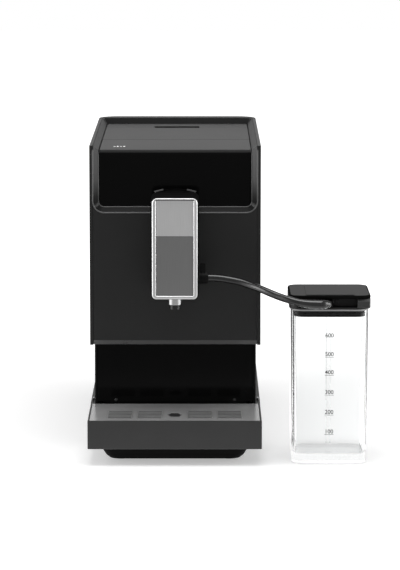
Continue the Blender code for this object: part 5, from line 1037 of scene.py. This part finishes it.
# %% [markdown]
# The relay and the coil are part of the power board's solid, so they only need other finishes:
# black plastic for the relay, and copper-coloured metal for the coil's winding.

# %% Relay and coil
RELAY_X, RELAY_Y, RELAY_HALF = 0.041, 0.148, 0.0095
COIL_X, COIL_Y, COIL_RADIUS, ABOVE_BOARD = 0.041, 0.216, 0.0125, POWER_TOP + 0.0002
refinish("power_board", "inner_black", lambda place, way: place.z > ABOVE_BOARD
         and max(abs(place.x - RELAY_X), abs(place.y - RELAY_Y)) < RELAY_HALF)
refinish("power_board", "brass", lambda place, way: place.z > ABOVE_BOARD
         and math.hypot(place.x - COIL_X, place.y - COIL_Y) < COIL_RADIUS)

# %% [markdown]
# ## The grind knob's pointer
# Under the bean lid, the knob that sets the grind has a white pointer pressed into its top. It
# rides on the knob, so it shows the setting. It glows like the lit signs, a painted glow.

# %% Pointer
POINTER_HALF, POINTER_FROM, POINTER_TO, POINTER_RISE = 0.0006, 0.01, 0.004, 0.0002
knob_low, knob_high = (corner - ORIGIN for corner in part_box("grind_knob"))
knob_x, knob_y = (knob_low.x + knob_high.x) / 2, (knob_low.y + knob_high.y) / 2
pointer = block("grind_pointer", around(knob_x, POINTER_HALF),
                (knob_y - POINTER_FROM, knob_y - POINTER_TO), around(knob_high.z, POINTER_RISE))
# Nothing lights the pointer from behind; its glow is painted.
dress(round_edges(pointer, 0.0001), "glowing ink", nodes["grind_knob"]["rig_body"])

# %% [markdown]
# ## Touch signs
# Four small white signs are printed on the touch strip at the front of the top. They are plain
# marks: a ring, a drop, a dot and a bar, each a film of ink on the strip.

# %% Signs on the strip
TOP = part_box("gloss_fascia")[1].z
SIGN_Y, SIGN_X = 0.043, (-0.0645, -0.0611, -0.0577, -0.0543)
BAR_HALF_WIDE, BAR_HALF_DEEP = 0.0011, 0.0022


def disc(name, x, y, radius, hole=0.0, stretch=1.0):
    only()
    bpy.ops.mesh.primitive_cylinder_add(vertices=28, radius=radius, depth=INK_THICKNESS,
                                        location=at(x, y, TOP + INK_THICKNESS / 2),
                                        scale=(1, stretch, 1))
    piece = settle(name)
    if hole:
        pierce(piece, radius - hole)
    return piece


signs = [
    disc("ring", SIGN_X[0], SIGN_Y, 0.0012, 0.0007, 2.0),
    disc("drop", SIGN_X[1], SIGN_Y, 0.0011, stretch=2.6),
    disc("dot", SIGN_X[2], SIGN_Y, 0.0008, stretch=2.2),
    block("bar", around(SIGN_X[3], BAR_HALF_WIDE), around(SIGN_Y, BAR_HALF_DEEP),
          (TOP, TOP + INK_THICKNESS)),
]
dress(join(signs, "touch_signs"), "glowing ink", "root")

# %% [markdown]
# ## The studio
# Gloss black shows mainly what it mirrors: here a dark room in front, bright screens at both
# sides, and a low bright backdrop behind. One expression describes this room by direction. Both
# the world and the floor use it for mirrored rays, so no seam shows between them. Rays straight
# from the camera, and rays that have gone through clear plastic, meet white.

# %% The room as gloss sees it
DARK_FRONT, SIDE_SCREENS, BACKDROP, TABLE = 0.35, 0.8, 0.7, 0.6
SIDE_FROM, SIDE_TO, BACK_FROM, BACK_TO, HIGH_FROM, HIGH_TO = 0.6, 0.95, 0.25, 0.85, 0.18, 0.45
FEW_WALLS = 3.5  # walls passed, times glints


def mirrored_room(graph, x, y, z):
    """How bright the room is in a direction, dark in front and bright at the sides and back."""
    sides = graph.ease(graph.maths("ABSOLUTE", x), SIDE_FROM, SIDE_TO)
    low = 1 - graph.ease(z, HIGH_FROM, HIGH_TO)
    behind = graph.ease(y, BACK_FROM, BACK_TO) * low
    return DARK_FRONT + SIDE_SCREENS * sides * low + BACKDROP * behind


def seen_directly(graph, y):
    """1 for camera rays and for rays that have come straight through clear walls.

    A ray that also glinted counts only if it heads backwards and has met few walls."""
    camera_ray, passed, glints, bounces = (
        graph.node("LightPath", output=output)
        for output in ("Is Camera Ray", "Transmission Depth", "Glossy Depth", "Diffuse Depth"))
    backwards = (passed * glints < FEW_WALLS) * (y > 0.0)
    through = (passed > 0.5) * (bounces < 0.5) * graph.maths("MAXIMUM", glints < 0.5, backwards)
    return graph.maths("MAXIMUM", camera_ray, through)


# %% [markdown]
# ## The floor
# The floor is a large pale sheet. It takes the object's soft shadow near the middle and glows
# more with distance, so that it melts into the white background with no horizon.

# %% Floor
NEAR_GLOW, FAR_GLOW, GLOW_FROM, GLOW_TO = 0.4, 1.0, 0.3, 1.2
TABLE_FROM, TABLE_TO, FLOOR_SIZE, FLOOR_Z = 0.2, 0.7, 14, -0.0002
only()
bpy.ops.mesh.primitive_plane_add(size=FLOOR_SIZE, location=(0, 0, FLOOR_Z))
floor = settle("floor")
paper = Finish("pale floor")
spot = paper.node("TexCoord", output="Object")
across = paper.node("SeparateXYZ", inputs={0: spot}, output="X")
along = paper.node("SeparateXYZ", inputs={0: spot}, output="Y")
reach = paper.node("VectorMath", {"operation": "LENGTH"}, {0: spot}, output="Value")
table = 1 - paper.ease(reach, TABLE_FROM, TABLE_TO)
mirror_glow = mirrored_room(paper, across / reach, along / reach, 0.0 * reach) + TABLE * table
plain_glow = NEAR_GLOW + (FAR_GLOW - NEAR_GLOW) * paper.ease(reach, GLOW_FROM, GLOW_TO)
direct = seen_directly(paper, along)
paper.set(Base_Color=(0.8, 0.8, 0.8, 1), Roughness=0.9, Specular_IOR_Level=0.0)
lit = paper.node("Emission", inputs={"Strength": plain_glow * direct})
sheet = Signal(paper, paper.surface.outputs[0])
shaded = paper.node("AddShader", inputs={0: sheet, 1: lit})
mirror = paper.node("Emission", inputs={"Strength": mirror_glow})
is_mirrored = (paper.node("LightPath", output="Is Glossy Ray") - direct).held()
both = paper.node("MixShader", inputs={0: is_mirrored, 1: shaded, 2: mirror})
paper.feed(paper.tree.nodes["Material Output"].inputs["Surface"], both)
floor.data.materials.append(paper.material)

# %% [markdown]
# ## World and lamps
# Three large soft lamps and an even world light the object from both sides and from above.

# %% World and lamps
AMBIENT = 0.4
world = bpy.data.worlds.new("studio")
bpy.context.scene.world = world
world.use_nodes = True
studio = Graph(world.node_tree)
background = studio.tree.nodes["Background"]
where = studio.node("TexCoord", output="Generated")
sideways, depth, height = (
    studio.node("SeparateXYZ", inputs={0: where}, output=axis) for axis in "XYZ")
is_glossy = studio.node("LightPath", output="Is Glossy Ray")
direct = seen_directly(studio, depth)
indirect = AMBIENT + (mirrored_room(studio, sideways, depth, height) - AMBIENT) * is_glossy
studio.feed(background.inputs["Strength"], direct + (1 - direct) * indirect)
studio.feed(background.inputs["Color"], (1, 1, 1, 1))

LAMPS = {
    "left_softbox": ((-1.3, -0.35, 0.62), (0.6, 1.1), 7.5),
    "right_softbox": ((1.3, -0.35, 0.62), (0.6, 1.1), 7.0),
    "top_softbox": ((0.0, -0.25, 1.55), (1.0, 1.0), 11.0),
}
AIM = Vector((0.0, 0.0, 0.15))
for name, (place, sizes, power) in LAMPS.items():
    only()
    turn = (AIM - Vector(place)).to_track_quat("-Z", "Y").to_euler()
    bpy.ops.object.light_add(type="AREA", location=place, rotation=turn)
    lamp = bpy.context.object
    lamp.name, lamp.data.shape, lamp.data.energy = name, "RECTANGLE", power
    lamp.data.size, lamp.data.size_y = sizes
print(len(LAMPS), "lamps")

# %% [markdown]
# ## Finishes of the solids that stay
# What is left of the solids gets its finish straight on its slots.

# %% Remaining solids
for name, node in nodes.items():
    if not node.hide_render:
        for holder in node.material_slots:
            holder.material = finishes[slots[name]].material
        print("kept as a solid:", name)
